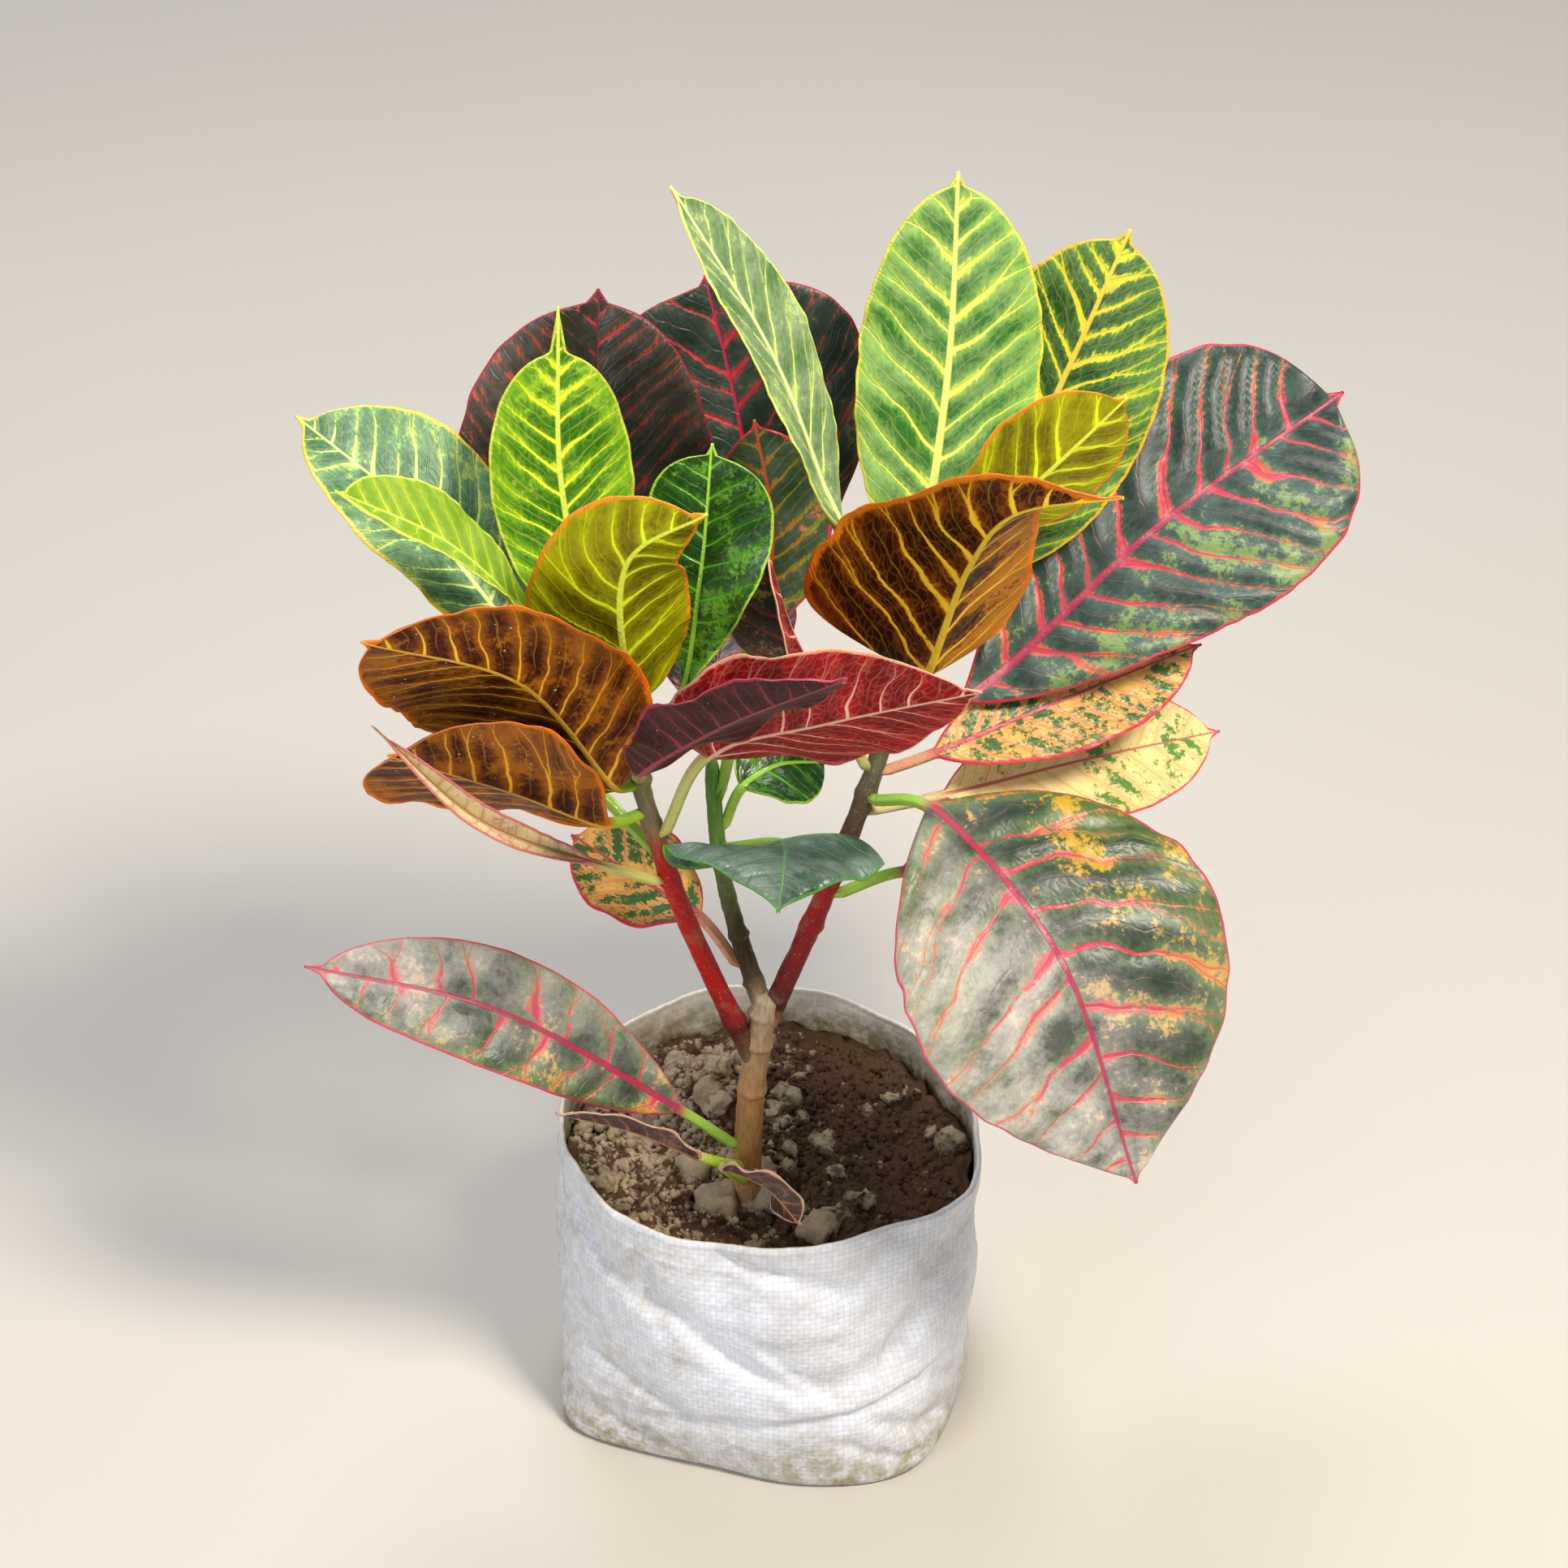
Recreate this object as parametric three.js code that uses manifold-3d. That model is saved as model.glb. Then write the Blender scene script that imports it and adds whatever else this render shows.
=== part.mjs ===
// A croton house plant in a white woven grow bag, in millimetres, +Z up.
// The origin is the middle of the bag's flat underside, and -Y is the side the plant is looked at from.
// The bag is a soft sack with two pinched corners, the soil fills it to below the rim, and one woody stem
// stands in a plain hole in the soil. It forks into three shoots, and each leaf, petiole and blade in one,
// is a mesh of its own that starts at the bark.
import * as THREE from "three";
import { mergeVertices } from "three/addons/utils/BufferGeometryUtils.js";
import Module from "manifold-3d";

const wasm = await Module();
wasm.setup();

// ---------------------------------------------------------------- driving dimensions

const GAP = 0.3; // running clearance between meshes that touch on the real plant
const degrees = THREE.MathUtils.degToRad;

// The sack: radius of its foot, belly and rim round their own middles, with bulges and dents (degrees, mm).
const BAG = {
  height: 112,
  wall: 1.2,
  floor: 1.6,
  sectors: 44,
  levels: [4, 14, 32, 54, 76, 92, 104],
  foot: {
    radius: 75,
    middle: [0, 0],
    lobes: [
      { at: -153, by: 10, spread: 15 }, // pinched corner, front left
      { at: -50, by: 9, spread: 20 }, // pinched corner, front right
      { at: -108, by: -9, spread: 24 }, // the front between the corners is pulled flat
    ],
  },
  belly: { radius: 80, middle: [0, 2], lobes: [{ at: -105, by: -3, spread: 30 }] },
  rim: {
    radius: 77,
    middle: [0, 11],
    lobes: [
      { at: -30, by: 7, spread: 16 }, // the mouth is drawn out to the right
      { at: 30, by: -4, spread: 20 },
      { at: -104, by: -3, spread: 9 }, // a fold in the front of the hem
    ],
  },
  creases: 1.2, // depth of the slack folds in the cloth
};

// The potting soil: its mean level, the heap behind the stem, and its seeded clods.
const SOIL = {
  level: 92,
  roughness: 1.6,
  heap: { at: [-20, 42], spread: 26, height: 9 },
  clods: { count: 60, seed: 7, radius: [4, 9], height: [2, 5] },
  shares: [0.9, 0.79, 0.67, 0.55, 0.43, 0.31, 0.19, 0.08],
};

// The woody stem: each shoot is one cubic Bezier, with the radius at its foot and at its tip, the bud that
// closes it, and the old leaf scars along it (share of its length).
const SHOOTS = {
  trunk: {
    path: [[-6, -17, 58], [-9, -18, 110], [-7, -16, 150], [0, -15, 184]],
    radius: [5.4, 4.6],
    bud: 2,
    scars: [0.64, 0.82, 0.94],
  },
  left: {
    path: [[-5, -16, 158], [-24, -20, 210], [-42, -30, 262], [-46, -33, 322]],
    radius: [3.8, 2.9],
    bud: 9,
    scars: [0.12, 0.55, 0.7, 0.82],
  },
  right: {
    path: [[0, -15, 174], [17, -12, 220], [36, -8, 262], [50, 0, 328]],
    radius: [3.9, 3.0],
    bud: 9,
    scars: [0.3, 0.52, 0.66, 0.78],
  },
  centre: {
    path: [[-1, -15, 178], [-8, -5, 200], [-18, 6, 215], [-19, 12, 262]],
    radius: [3.6, 2.6],
    bud: 8,
    scars: [0.16, 0.4, 0.75],
  },
};
const SCAR = { height: 0.5, spread: 0.03 };

// Outlines of the blades: the powers of the two flanks, before and after the widest place. The body ends
// at pointedFrom, where a tip that is beak wide begins, both as shares of the length and the half width.
const OUTLINES = {
  obovate: { rise: 0.95, fall: 0.42, pointedFrom: 0.965, beak: 0.08 },
  dripping: { rise: 0.6, fall: 0.46, pointedFrom: 0.86, beak: 0.12 },
  spoon: { rise: 1.5, fall: 0.42, pointedFrom: 0.96, beak: 0.09 },
  elliptic: { rise: 0.78, fall: 0.6, pointedFrom: 0.96, beak: 0.09 },
  broad: { rise: 0.9, fall: 1.0, pointedFrom: 0.99, beak: 0.02 },
  oval: { rise: 0.5, fall: 0.5, pointedFrom: 0.96, beak: 0.09 },
  ovate: { rise: 0.45, fall: 0.72, pointedFrom: 0.96, beak: 0.08 },
  cordate: { rise: 0.4, fall: 1.4, pointedFrom: 0.99, beak: 0.02 },
  lance: { rise: 0.75, fall: 0.85, pointedFrom: 0.94, beak: 0.08 },
};
const BLADE = { edge: 0.4, rib: 1.5, petiole: 1.9, rows: 10, columns: 4, petioleRows: 2 };

// The finishes seen on the plant: colour of the side that shows, and its roughness.
const FINISHES = {
  lime: { color: "#9cc42c", roughness: 0.45 },
  yellow_green: { color: "#6f9a35", roughness: 0.45 },
  grey_green: { color: "#6f8a66", roughness: 0.6 },
  glossy_green: { color: "#2c6a1f", roughness: 0.35 },
  dark_red_veined: { color: "#2c3a2c", roughness: 0.4 },
  dusty_red_veined: { color: "#7a7f74", roughness: 0.6 },
  cream_spotted: { color: "#cdb377", roughness: 0.5 },
  brown_gold: { color: "#5c2f10", roughness: 0.5 },
  olive_gold: { color: "#8a8a22", roughness: 0.5 },
  crimson: { color: "#8a1526", roughness: 0.45 },
  dry_cream: { color: "#d8c39a", roughness: 0.8 },
};

// The leaves. on/at: the shoot, and how far up it the petiole starts. rib: points of the midrib, from the
// foot of the blade to its tip. width: across its widest place. faces: which way the upper side looks at
// the foot and at the tip, as [turn, climb] in degrees (0 is +X, 90 is +Y). fold: how far each half is folded
// up. curl: how far the margins bend up (or down). wave: height of the waves in the margin. skew: the share
// by which the left half, seen from above with the tip ahead, is narrower, and the right half wider.
const LEAVES = [
  {
    name: "leaf_left_grey_green", on: "left", at: 0.9, finish: "grey_green", outline: "elliptic",
    rib: [[-79, -25, 339], [-115, -8, 380], [-155, 10, 408]], width: 54,
    faces: [[-50, 45], [-50, 45]], fold: 8, curl: 0, wave: 3, skew: 0.18,
  },
  {
    name: "leaf_left_lime_narrow", on: "left", at: 1.0, finish: "lime", outline: "elliptic",
    rib: [[-75, -35, 355], [-101, -54, 398], [-133, -78, 432]], width: 34,
    faces: [[-5, 48], [-5, 48]], fold: 20, curl: 0, wave: 1,
  },
  {
    name: "leaf_left_lime_upright", on: "left", at: 0.96, finish: "lime", outline: "dripping",
    rib: [[-57, -24, 345], [-67, -10, 394], [-67, 5, 452]], width: 48,
    faces: [[-80, 25], [-80, 25]], fold: 8, curl: 0, wave: 1,
  },
  {
    name: "leaf_left_olive_front", on: "left", at: 0.95, finish: "olive_gold", outline: "ovate",
    rib: [[-45, -45, 331], [-43, -61, 397], [-18, -65, 416]], width: 55,
    faces: [[102, -5], [92, 5]], fold: 12, curl: 2, wave: 2, skew: 0.12,
  },
  {
    name: "leaf_left_brown_front", on: "left", at: 0.82, finish: "brown_gold", outline: "oval",
    rib: [[-50, -37, 292], [-80, -61, 350], [-127, -85, 381]], width: 82,
    faces: [[95, 15], [80, 15]], fold: 10, curl: -2, wave: 4, skew: 0.18,
  },
  {
    name: "leaf_left_brown_low", on: "left", at: 0.74, finish: "brown_gold", outline: "obovate",
    rib: [[-53, -36, 276], [-86, -52, 301], [-123, -68, 326]], width: 84,
    faces: [[62, 12], [62, 5]], fold: 8, curl: -2, wave: 3,
  },
  {
    name: "leaf_left_dark_low", on: "left", at: 0.8, finish: "glossy_green", outline: "elliptic",
    rib: [[-67, -22, 290], [-91, -18, 305], [-118, -16, 320]], width: 40,
    faces: [[-60, 60], [-60, 60]], fold: 8, curl: 0, wave: 2,
  },
  {
    name: "leaf_left_dry_rolled", on: "left", at: 0.56, finish: "dry_cream", outline: "lance",
    rib: [[-58, -40, 262], [-94, -61, 294], [-126, -82, 347]], width: 16,
    faces: [[-70, 40], [-70, 40]], fold: 55, curl: 0, wave: 1,
  },
  {
    name: "leaf_left_dark_back", on: "left", at: 0.86, finish: "dark_red_veined", outline: "oval",
    rib: [[-48, 5, 323], [-57, 34, 377], [-56, 50, 434]], width: 88,
    faces: [[-85, 30], [-85, 30]], fold: 6, curl: -2, wave: 2, skew: -0.1,
  },
  {
    name: "leaf_left_green_glossy", on: "left", at: 0.98, finish: "glossy_green", outline: "spoon",
    rib: [[-31, -35, 323], [-21, -39, 376], [-17, -28, 420]], width: 44,
    faces: [[-125, 15], [-100, 15]], fold: 12, curl: 2, wave: 4, skew: 0.12,
  },
  {
    name: "leaf_left_maroon_front", on: "left", at: 0.84, finish: "crimson", outline: "elliptic",
    rib: [[-42, -52, 308], [-11, -96, 358], [25, -130, 397]], width: 46,
    faces: [[90, 52], [90, 48]], fold: 12, curl: 0, wave: 5,
  },
  {
    name: "leaf_left_crimson_front", on: "left", at: 0.68, finish: "crimson", outline: "ovate",
    rib: [[-19, -46, 311], [20, -68, 339], [69, -83, 361]], width: 72,
    faces: [[100, 15], [100, 15]], fold: 8, curl: 2, wave: 3,
  },
  {
    name: "leaf_left_dark_rear", on: "left", at: 0.7, finish: "dark_red_veined", outline: "elliptic",
    rib: [[-52, 2, 290], [-66, 45, 316], [-80, 88, 322]], width: 60,
    faces: [[-90, 60], [-90, 70]], fold: 6, curl: 0, wave: 3,
  },
  {
    name: "leaf_left_green_rear", on: "left", at: 0.62, finish: "glossy_green", outline: "elliptic",
    rib: [[-66, -6, 278], [-98, 20, 290], [-126, 44, 290]], width: 46,
    faces: [[-60, 60], [-60, 70]], fold: 6, curl: 0, wave: 2,
  },
  {
    name: "leaf_centre_dark_tall", on: "centre", at: 0.92, finish: "dark_red_veined", outline: "obovate",
    rib: [[-6, 38, 312], [-8, 68, 362], [-21, 84, 421]], width: 96,
    faces: [[-90, 30], [-90, 30]], fold: 6, curl: -2, wave: 2,
  },
  {
    name: "leaf_centre_green_back", on: "centre", at: 0.96, finish: "dark_red_veined", outline: "elliptic",
    rib: [[-3, 14, 320], [2, 22, 356], [-4, 32, 394]], width: 42,
    faces: [[-80, 30], [-80, 30]], fold: 8, curl: 0, wave: 2,
  },
  {
    name: "leaf_centre_green_small", on: "centre", at: 0.78, finish: "glossy_green", outline: "cordate",
    rib: [[5, -22, 257], [6, -43, 263], [4, -63, 258]], width: 76,
    faces: [[-80, 68], [-80, 68]], fold: 0, curl: -3, wave: 3, skew: 0.1,
  },
  {
    name: "leaf_centre_green_side", on: "centre", at: 0.84, finish: "glossy_green", outline: "elliptic",
    rib: [[-9, 16, 254], [3, 24, 258], [21, 32, 254]], width: 36,
    faces: [[-60, 60], [-60, 60]], fold: 8, curl: 0, wave: 1,
  },
  {
    name: "leaf_centre_pink_low", on: "centre", at: 0.26, finish: "cream_spotted", outline: "elliptic",
    rib: [[-24, 2, 208], [-44, 12, 216], [-70, 24, 228]], width: 44,
    faces: [[-60, 60], [-60, 60]], fold: 8, curl: 0, wave: 2,
  },
  {
    name: "leaf_centre_dark_rear", on: "centre", at: 0.8, finish: "dark_red_veined", outline: "elliptic",
    rib: [[-20, 42, 266], [-16, 78, 280], [-10, 116, 284]], width: 52,
    faces: [[-90, 65], [-90, 75]], fold: 6, curl: 0, wave: 2,
  },
  {
    name: "leaf_right_grey_narrow", on: "right", at: 0.96, finish: "grey_green", outline: "elliptic",
    rib: [[24, -15, 380], [2, -12, 443], [-30, -5, 500]], width: 44,
    faces: [[-18, 22], [-18, 22]], fold: 14, curl: 0, wave: 1,
  },
  {
    name: "leaf_right_red_folded", on: "right", at: 0.72, finish: "crimson", outline: "elliptic",
    rib: [[23, -20, 313], [9, -27, 346], [0, -24, 379]], width: 44,
    faces: [[-150, 20], [-150, 20]], fold: 35, curl: 0, wave: 1,
  },
  {
    name: "leaf_right_lime_tall", on: "right", at: 1.0, finish: "yellow_green", outline: "oval",
    rib: [[53, 12, 354], [61, 32, 418], [63, 45, 480]], width: 62,
    faces: [[-85, 30], [-85, 30]], fold: 5, curl: 0, wave: 2,
  },
  {
    name: "leaf_right_green_tall", on: "right", at: 0.97, finish: "yellow_green", outline: "oval",
    rib: [[70, 28, 340], [98, 48, 394], [122, 64, 449]], width: 68,
    faces: [[-85, 35], [-85, 35]], fold: 6, curl: 0, wave: 2,
  },
  {
    name: "leaf_right_olive_small", on: "right", at: 1.0, finish: "olive_gold", outline: "elliptic",
    rib: [[66, -10, 372], [89, -8, 394], [118, 0, 421]], width: 54,
    faces: [[110, 10], [110, 10]], fold: 8, curl: 0, wave: 1,
  },
  {
    name: "leaf_right_brown_front", on: "right", at: 0.98, finish: "brown_gold", outline: "cordate",
    rib: [[53, -27, 331], [66, -47, 386], [79, -65, 416], [111, -80, 431]], width: 82,
    faces: [[97, 30], [94, 28]], fold: 26, curl: 0, wave: 2, skew: 0.2,
  },
  {
    name: "leaf_right_dark_large", on: "right", at: 0.86, finish: "dark_red_veined", outline: "obovate",
    rib: [[66, 5, 298], [136, 45, 345], [200, 77, 379]], width: 92,
    faces: [[-85, 45], [-85, 45]], fold: 5, curl: -2, wave: 3,
  },
  {
    name: "leaf_right_cream_middle", on: "right", at: 0.72, finish: "cream_spotted", outline: "elliptic",
    rib: [[57, -5, 283], [101, 14, 292], [152, 38, 300]], width: 40,
    faces: [[-80, 50], [-80, 50]], fold: 5, curl: 0, wave: 2,
  },
  {
    name: "leaf_right_cream_low", on: "right", at: 0.62, finish: "cream_spotted", outline: "elliptic",
    rib: [[61, 0, 262], [110, 24, 260], [162, 50, 255]], width: 47,
    faces: [[-85, 50], [-85, 50]], fold: 5, curl: 0, wave: 3,
  },
  {
    name: "leaf_right_dark_drooping", on: "right", at: 0.66, finish: "dusty_red_veined", outline: "broad",
    rib: [[55, -28, 277], [97, -75, 251], [126, -100, 171]], width: 116,
    faces: [[-70, 60], [-75, 10]], fold: 5, curl: -3, wave: 4,
  },
  {
    name: "leaf_right_dark_hidden", on: "right", at: 0.4, finish: "dark_red_veined", outline: "elliptic",
    rib: [[47, -12, 238], [72, -18, 240], [99, -26, 232]], width: 34,
    faces: [[-80, 60], [-80, 50]], fold: 6, curl: 0, wave: 1,
  },
  {
    name: "leaf_right_dark_rear", on: "right", at: 0.74, finish: "dark_red_veined", outline: "elliptic",
    rib: [[50, 22, 298], [60, 62, 316], [68, 104, 320]], width: 56,
    faces: [[-95, 60], [-95, 72]], fold: 6, curl: 0, wave: 2,
  },
  {
    name: "leaf_right_green_rear", on: "right", at: 0.9, finish: "glossy_green", outline: "elliptic",
    rib: [[62, 36, 322], [88, 72, 334], [112, 106, 340]], width: 50,
    faces: [[-110, 60], [-110, 65]], fold: 6, curl: 0, wave: 3,
  },
  {
    name: "leaf_trunk_dusty", on: "trunk", at: 0.44, finish: "dusty_red_veined", outline: "elliptic",
    rib: [[-31, -26, 142], [-96, -38, 198], [-160, -40, 218]], width: 42,
    faces: [[-80, 45], [-80, 45]], fold: 6, curl: 0, wave: 2,
  },
  {
    name: "leaf_trunk_brown_left", on: "trunk", at: 0.38, finish: "brown_gold", outline: "elliptic",
    rib: [[-24, -42, 134], [-47, -48, 151], [-74, -54, 164]], width: 28,
    faces: [[80, 50], [80, 40]], fold: 8, curl: 0, wave: 2,
  },
  {
    name: "leaf_trunk_brown_right", on: "trunk", at: 0.33, finish: "brown_gold", outline: "elliptic",
    rib: [[-15, -44, 131], [0, -55, 131], [12, -63, 120]], width: 24,
    faces: [[80, 50], [80, 20]], fold: 8, curl: 0, wave: 3,
  },
];

// ---------------------------------------------------------------- small helpers

const vec = (p) => new THREE.Vector3(p[0], p[1], p[2]);
const lerp = THREE.MathUtils.lerp;
const bell = (distance, spread) => Math.exp(-((distance / spread) ** 2));

// Mulberry32, so that every seeded draw is the same on each run.
function seeded(seed) {
  let a = seed >>> 0;
  return () => {
    a = (a + 0x6d2b79f5) | 0;
    let t = Math.imul(a ^ (a >>> 15), 1 | a);
    t = (t + Math.imul(t ^ (t >>> 7), 61 | t)) ^ t;
    return ((t ^ (t >>> 14)) >>> 0) / 4294967296;
  };
}

// A closed skin over a row of rings with the same number of points, each end closed by a fan.
// `leans` says on which sides of the ring the quads are split along their other diagonal.
function loft(rings, leans = () => false) {
  const around = rings[0].length;
  const points = rings.flat();
  const faces = [];
  for (let i = 0; i + 1 < rings.length; i++) {
    for (let j = 0; j < around; j++) {
      const a = i * around + j;
      const b = i * around + ((j + 1) % around);
      const c = b + around;
      const d = a + around;
      if (leans(j)) faces.push(a, b, d, b, c, d);
      else faces.push(a, b, c, a, c, d);
    }
  }
  const first = points.push(centreOf(rings[0])) - 1;
  const last = points.push(centreOf(rings[rings.length - 1])) - 1;
  const top = (rings.length - 1) * around;
  for (let j = 0; j < around; j++) {
    const next = (j + 1) % around;
    faces.push(first, next, j, last, top + j, top + next);
  }
  return geometryOf(points, faces);
}

function centreOf(ring) {
  return ring.reduce((sum, p) => sum.add(p), new THREE.Vector3()).divideScalar(ring.length);
}

function geometryOf(points, faces) {
  const positions = new Float32Array(points.flatMap((p) => [p.x, p.y, p.z]));
  const geometry = new THREE.BufferGeometry();
  geometry.setAttribute("position", new THREE.BufferAttribute(positions, 3));
  geometry.setIndex(faces);
  return geometry;
}

function solidOf(geometry) {
  const merged = mergeVertices(geometry, 1e-4);
  return new wasm.Manifold(
    new wasm.Mesh({
      numProp: 3,
      vertProperties: merged.attributes.position.array,
      triVerts: new Uint32Array(merged.index.array),
    }),
  );
}

function geometryFrom(solid) {
  const mesh = solid.getMesh();
  const geometry = new THREE.BufferGeometry();
  geometry.setAttribute("position", new THREE.BufferAttribute(new Float32Array(mesh.vertProperties), 3));
  geometry.setIndex(new THREE.BufferAttribute(mesh.triVerts, 1));
  return geometry;
}

function named(name, geometry, color, roughness) {
  const mesh = new THREE.Mesh(geometry, new THREE.MeshStandardMaterial({ color, roughness, metalness: 0 }));
  mesh.name = name;
  return mesh;
}

// ---------------------------------------------------------------- bag

const wrapped = (angle) => ((((angle + 180) % 360) + 360) % 360) - 180;

// Radius of the foot, the belly or the rim at an angle, with its bulges and dents.
function bandRadius(band, angle) {
  const bulges = band.lobes.map(({ at, by, spread }) => by * bell(wrapped(angle - at), spread));
  return bulges.reduce((sum, bulge) => sum + bulge, band.radius);
}

// A point of the cloth at a height and an angle in degrees, `inside` millimetres in from its outer face.
function clothPoint(z, angle, inside = 0) {
  const share = z / BAG.height;
  const weights = [(1 - share) ** 2, 2 * share * (1 - share), share ** 2];
  const bands = [BAG.foot, BAG.belly, BAG.rim];
  const blend = (value) => bands.reduce((sum, band, i) => sum + weights[i] * value(band), 0);
  const slack = BAG.creases * 4 * share * (1 - share);
  const crease = slack * Math.sin(degrees(3 * angle) + z / 16) * Math.sin(degrees(5 * angle) - z / 23);
  const radius = blend((band) => bandRadius(band, angle)) + crease - inside;
  const x = blend((band) => band.middle[0]);
  const y = blend((band) => band.middle[1]);
  return new THREE.Vector3(x + radius * Math.cos(degrees(angle)), y + radius * Math.sin(degrees(angle)), z);
}

function clothRing(z, inside = 0) {
  return Array.from({ length: BAG.sectors }, (_, j) => clothPoint(z, (j / BAG.sectors) * 360, inside));
}

function makeBag() {
  const outer = [...BAG.levels, BAG.height];
  const rings = [
    clothRing(0, 3.5),
    ...outer.map((z) => clothRing(z)),
    ...outer.toReversed().map((z) => clothRing(z, BAG.wall)),
    clothRing(BAG.levels[0], BAG.wall).map((p) => p.setZ(BAG.floor)),
  ];
  return named("bag", loft(rings), "#dfe3ea", 0.75);
}

// ---------------------------------------------------------------- soil

const draw = seeded(SOIL.clods.seed);
const clods = Array.from({ length: SOIL.clods.count }, () => {
  const angle = draw() * 2 * Math.PI;
  const reach = 70 * Math.sqrt(draw());
  return {
    x: reach * Math.cos(angle),
    y: 11 + reach * Math.sin(angle),
    radius: lerp(...SOIL.clods.radius, draw()),
    height: lerp(...SOIL.clods.height, draw()),
  };
});

// Height of the soil at a place: level, long swells, the heap and the clods that stand out of it.
function soilHeight(x, y) {
  const [hx, hy] = SOIL.heap.at;
  const swell = SOIL.roughness * Math.sin(x / 11 + 1) * Math.cos(y / 13);
  const heap = SOIL.heap.height * bell(Math.hypot(x - hx, y - hy), SOIL.heap.spread);
  const lumps = clods.map((clod) => clod.height * bell(Math.hypot(x - clod.x, y - clod.y), clod.radius));
  return SOIL.level + swell + heap + Math.max(...lumps);
}

function makeSoil() {
  const inside = BAG.wall + GAP;
  const walls = BAG.levels.filter((z) => z < SOIL.level - 2);
  const rim = clothRing(SOIL.level, inside);
  const middle = centreOf(rim);
  const rings = [
    clothRing(BAG.levels[0], inside).map((p) => p.setZ(BAG.floor + GAP)),
    ...walls.map((z) => clothRing(z, inside)),
    rim,
    ...SOIL.shares.map((share) =>
      rim.map((p) => {
        const x = lerp(middle.x, p.x, share);
        const y = lerp(middle.y, p.y, share);
        return new THREE.Vector3(x, y, soilHeight(x, y));
      }),
    ),
  ];
  const hole = solidOf(shootTube("trunk", { extra: GAP }));
  const soil = solidOf(loft(rings, () => true)).subtract(hole).subtract(hole.translate([0, 0, -GAP]));
  return named("soil", geometryFrom(soil), "#5a4433", 0.95);
}

// ---------------------------------------------------------------- stem

const curves = Object.fromEntries(
  Object.entries(SHOOTS).map(([name, shoot]) => [name, new THREE.CubicBezierCurve3(...shoot.path.map(vec))]),
);

function shootRadius(name, t) {
  const { radius, scars } = SHOOTS[name];
  const swelling = scars.reduce((sum, scar) => sum + SCAR.height * bell(t - scar, SCAR.spread), 0);
  return lerp(radius[0], radius[1], t) + swelling;
}

// A round tube along a shoot, swollen by `extra` all round and closed by its bud.
function shootTube(name, { extra = 0, sides = 10, steps = 14 } = {}) {
  const stations = Array.from({ length: steps + 1 }, (_, i) => ({ t: i / steps, past: 0, share: 1 }));
  stations.push({ t: 1, past: 0.6, share: 0.7 }, { t: 1, past: 1, share: 0.2 });
  const rings = stations.map(({ t, past, share }) => {
    const along = curves[name].getTangent(t);
    const middle = curves[name].getPoint(t).addScaledVector(along, past * SHOOTS[name].bud);
    const across = new THREE.Vector3(0, 1, 0).cross(along).normalize();
    const third = along.clone().cross(across);
    const radius = share * shootRadius(name, t) + extra;
    return Array.from({ length: sides }, (_, j) => {
      const angle = (j / sides) * 2 * Math.PI;
      return middle
        .clone()
        .addScaledVector(across, radius * Math.cos(angle))
        .addScaledVector(third, radius * Math.sin(angle));
    });
  });
  return loft(rings);
}

function makeStem() {
  const shoots = Object.keys(SHOOTS).map((name) => solidOf(shootTube(name)));
  const stem = shoots.reduce((whole, shoot) => whole.add(shoot));
  return named("stem", geometryFrom(stem), "#8a5a35", 0.7);
}

// ---------------------------------------------------------------- leaves

// Half the width of a blade at s from 0 at its foot to 1 at its tip, as a share of its greatest half width.
function outlineAt(kind, s) {
  const { rise, fall, pointedFrom, beak } = OUTLINES[kind];
  const widest = rise / (rise + fall);
  const body = Math.min(s / pointedFrom, 1);
  const flank = (body / widest) ** rise * ((1 - body) / (1 - widest)) ** fall;
  const tip = beak * Math.min(1, (1 - s) / (1 - pointedFrom));
  return s < 0.5 ? flank : Math.max(flank, tip);
}

function headingOf([turn, climb]) {
  const a = degrees(turn);
  const e = degrees(climb);
  return new THREE.Vector3(Math.cos(e) * Math.cos(a), Math.cos(e) * Math.sin(a), Math.sin(e));
}

// The part of `v` that is square to `along`, as a unit vector.
function squareTo(v, along) {
  return v.clone().addScaledVector(along, -v.dot(along)).normalize();
}

// One leaf as a single skin: a round petiole that flattens into the blade.
function leafGeometry(leaf, index) {
  const { rows, petioleRows, columns } = BLADE;
  const shoot = curves[leaf.on];
  const foot = vec(leaf.rib[0]);
  const bark = shoot.getPoint(leaf.at);
  const out = squareTo(foot.clone().sub(bark), shoot.getTangent(leaf.at));
  const socket = bark.addScaledVector(out, shootRadius(leaf.on, leaf.at) + GAP);
  const path = new THREE.CatmullRomCurve3([socket, ...leaf.rib.map(vec)]);
  path.arcLengthDivisions = 120;
  const lengths = path.getLengths();
  const footShare = lengths[120 / leaf.rib.length] / lengths[120];
  const looks = leaf.faces.map(headingOf);
  const rings = [];
  for (let i = 0; i <= petioleRows + rows; i++) {
    const p = Math.min(i / petioleRows, 1);
    const s = Math.max(i - petioleRows, 0) / rows;
    const share = lerp(footShare * p, 1, s);
    const heading = i === 0 ? out : path.getTangentAt(share);
    const face = squareTo(looks[0].clone().lerp(looks[1], s), heading);
    const side = heading.clone().cross(face);
    rings.push(leafRing(leaf, index, path.getPointAt(share), side, face, s, p));
  }
  // The two faces are split alike: chevrons that open to the tip on the upper and on the under side.
  const quads = 2 * columns + 2;
  return loft(rings, (j) => (j < quads / 2 ? j < columns / 2 : j < quads / 2 + columns / 2));
}

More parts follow.
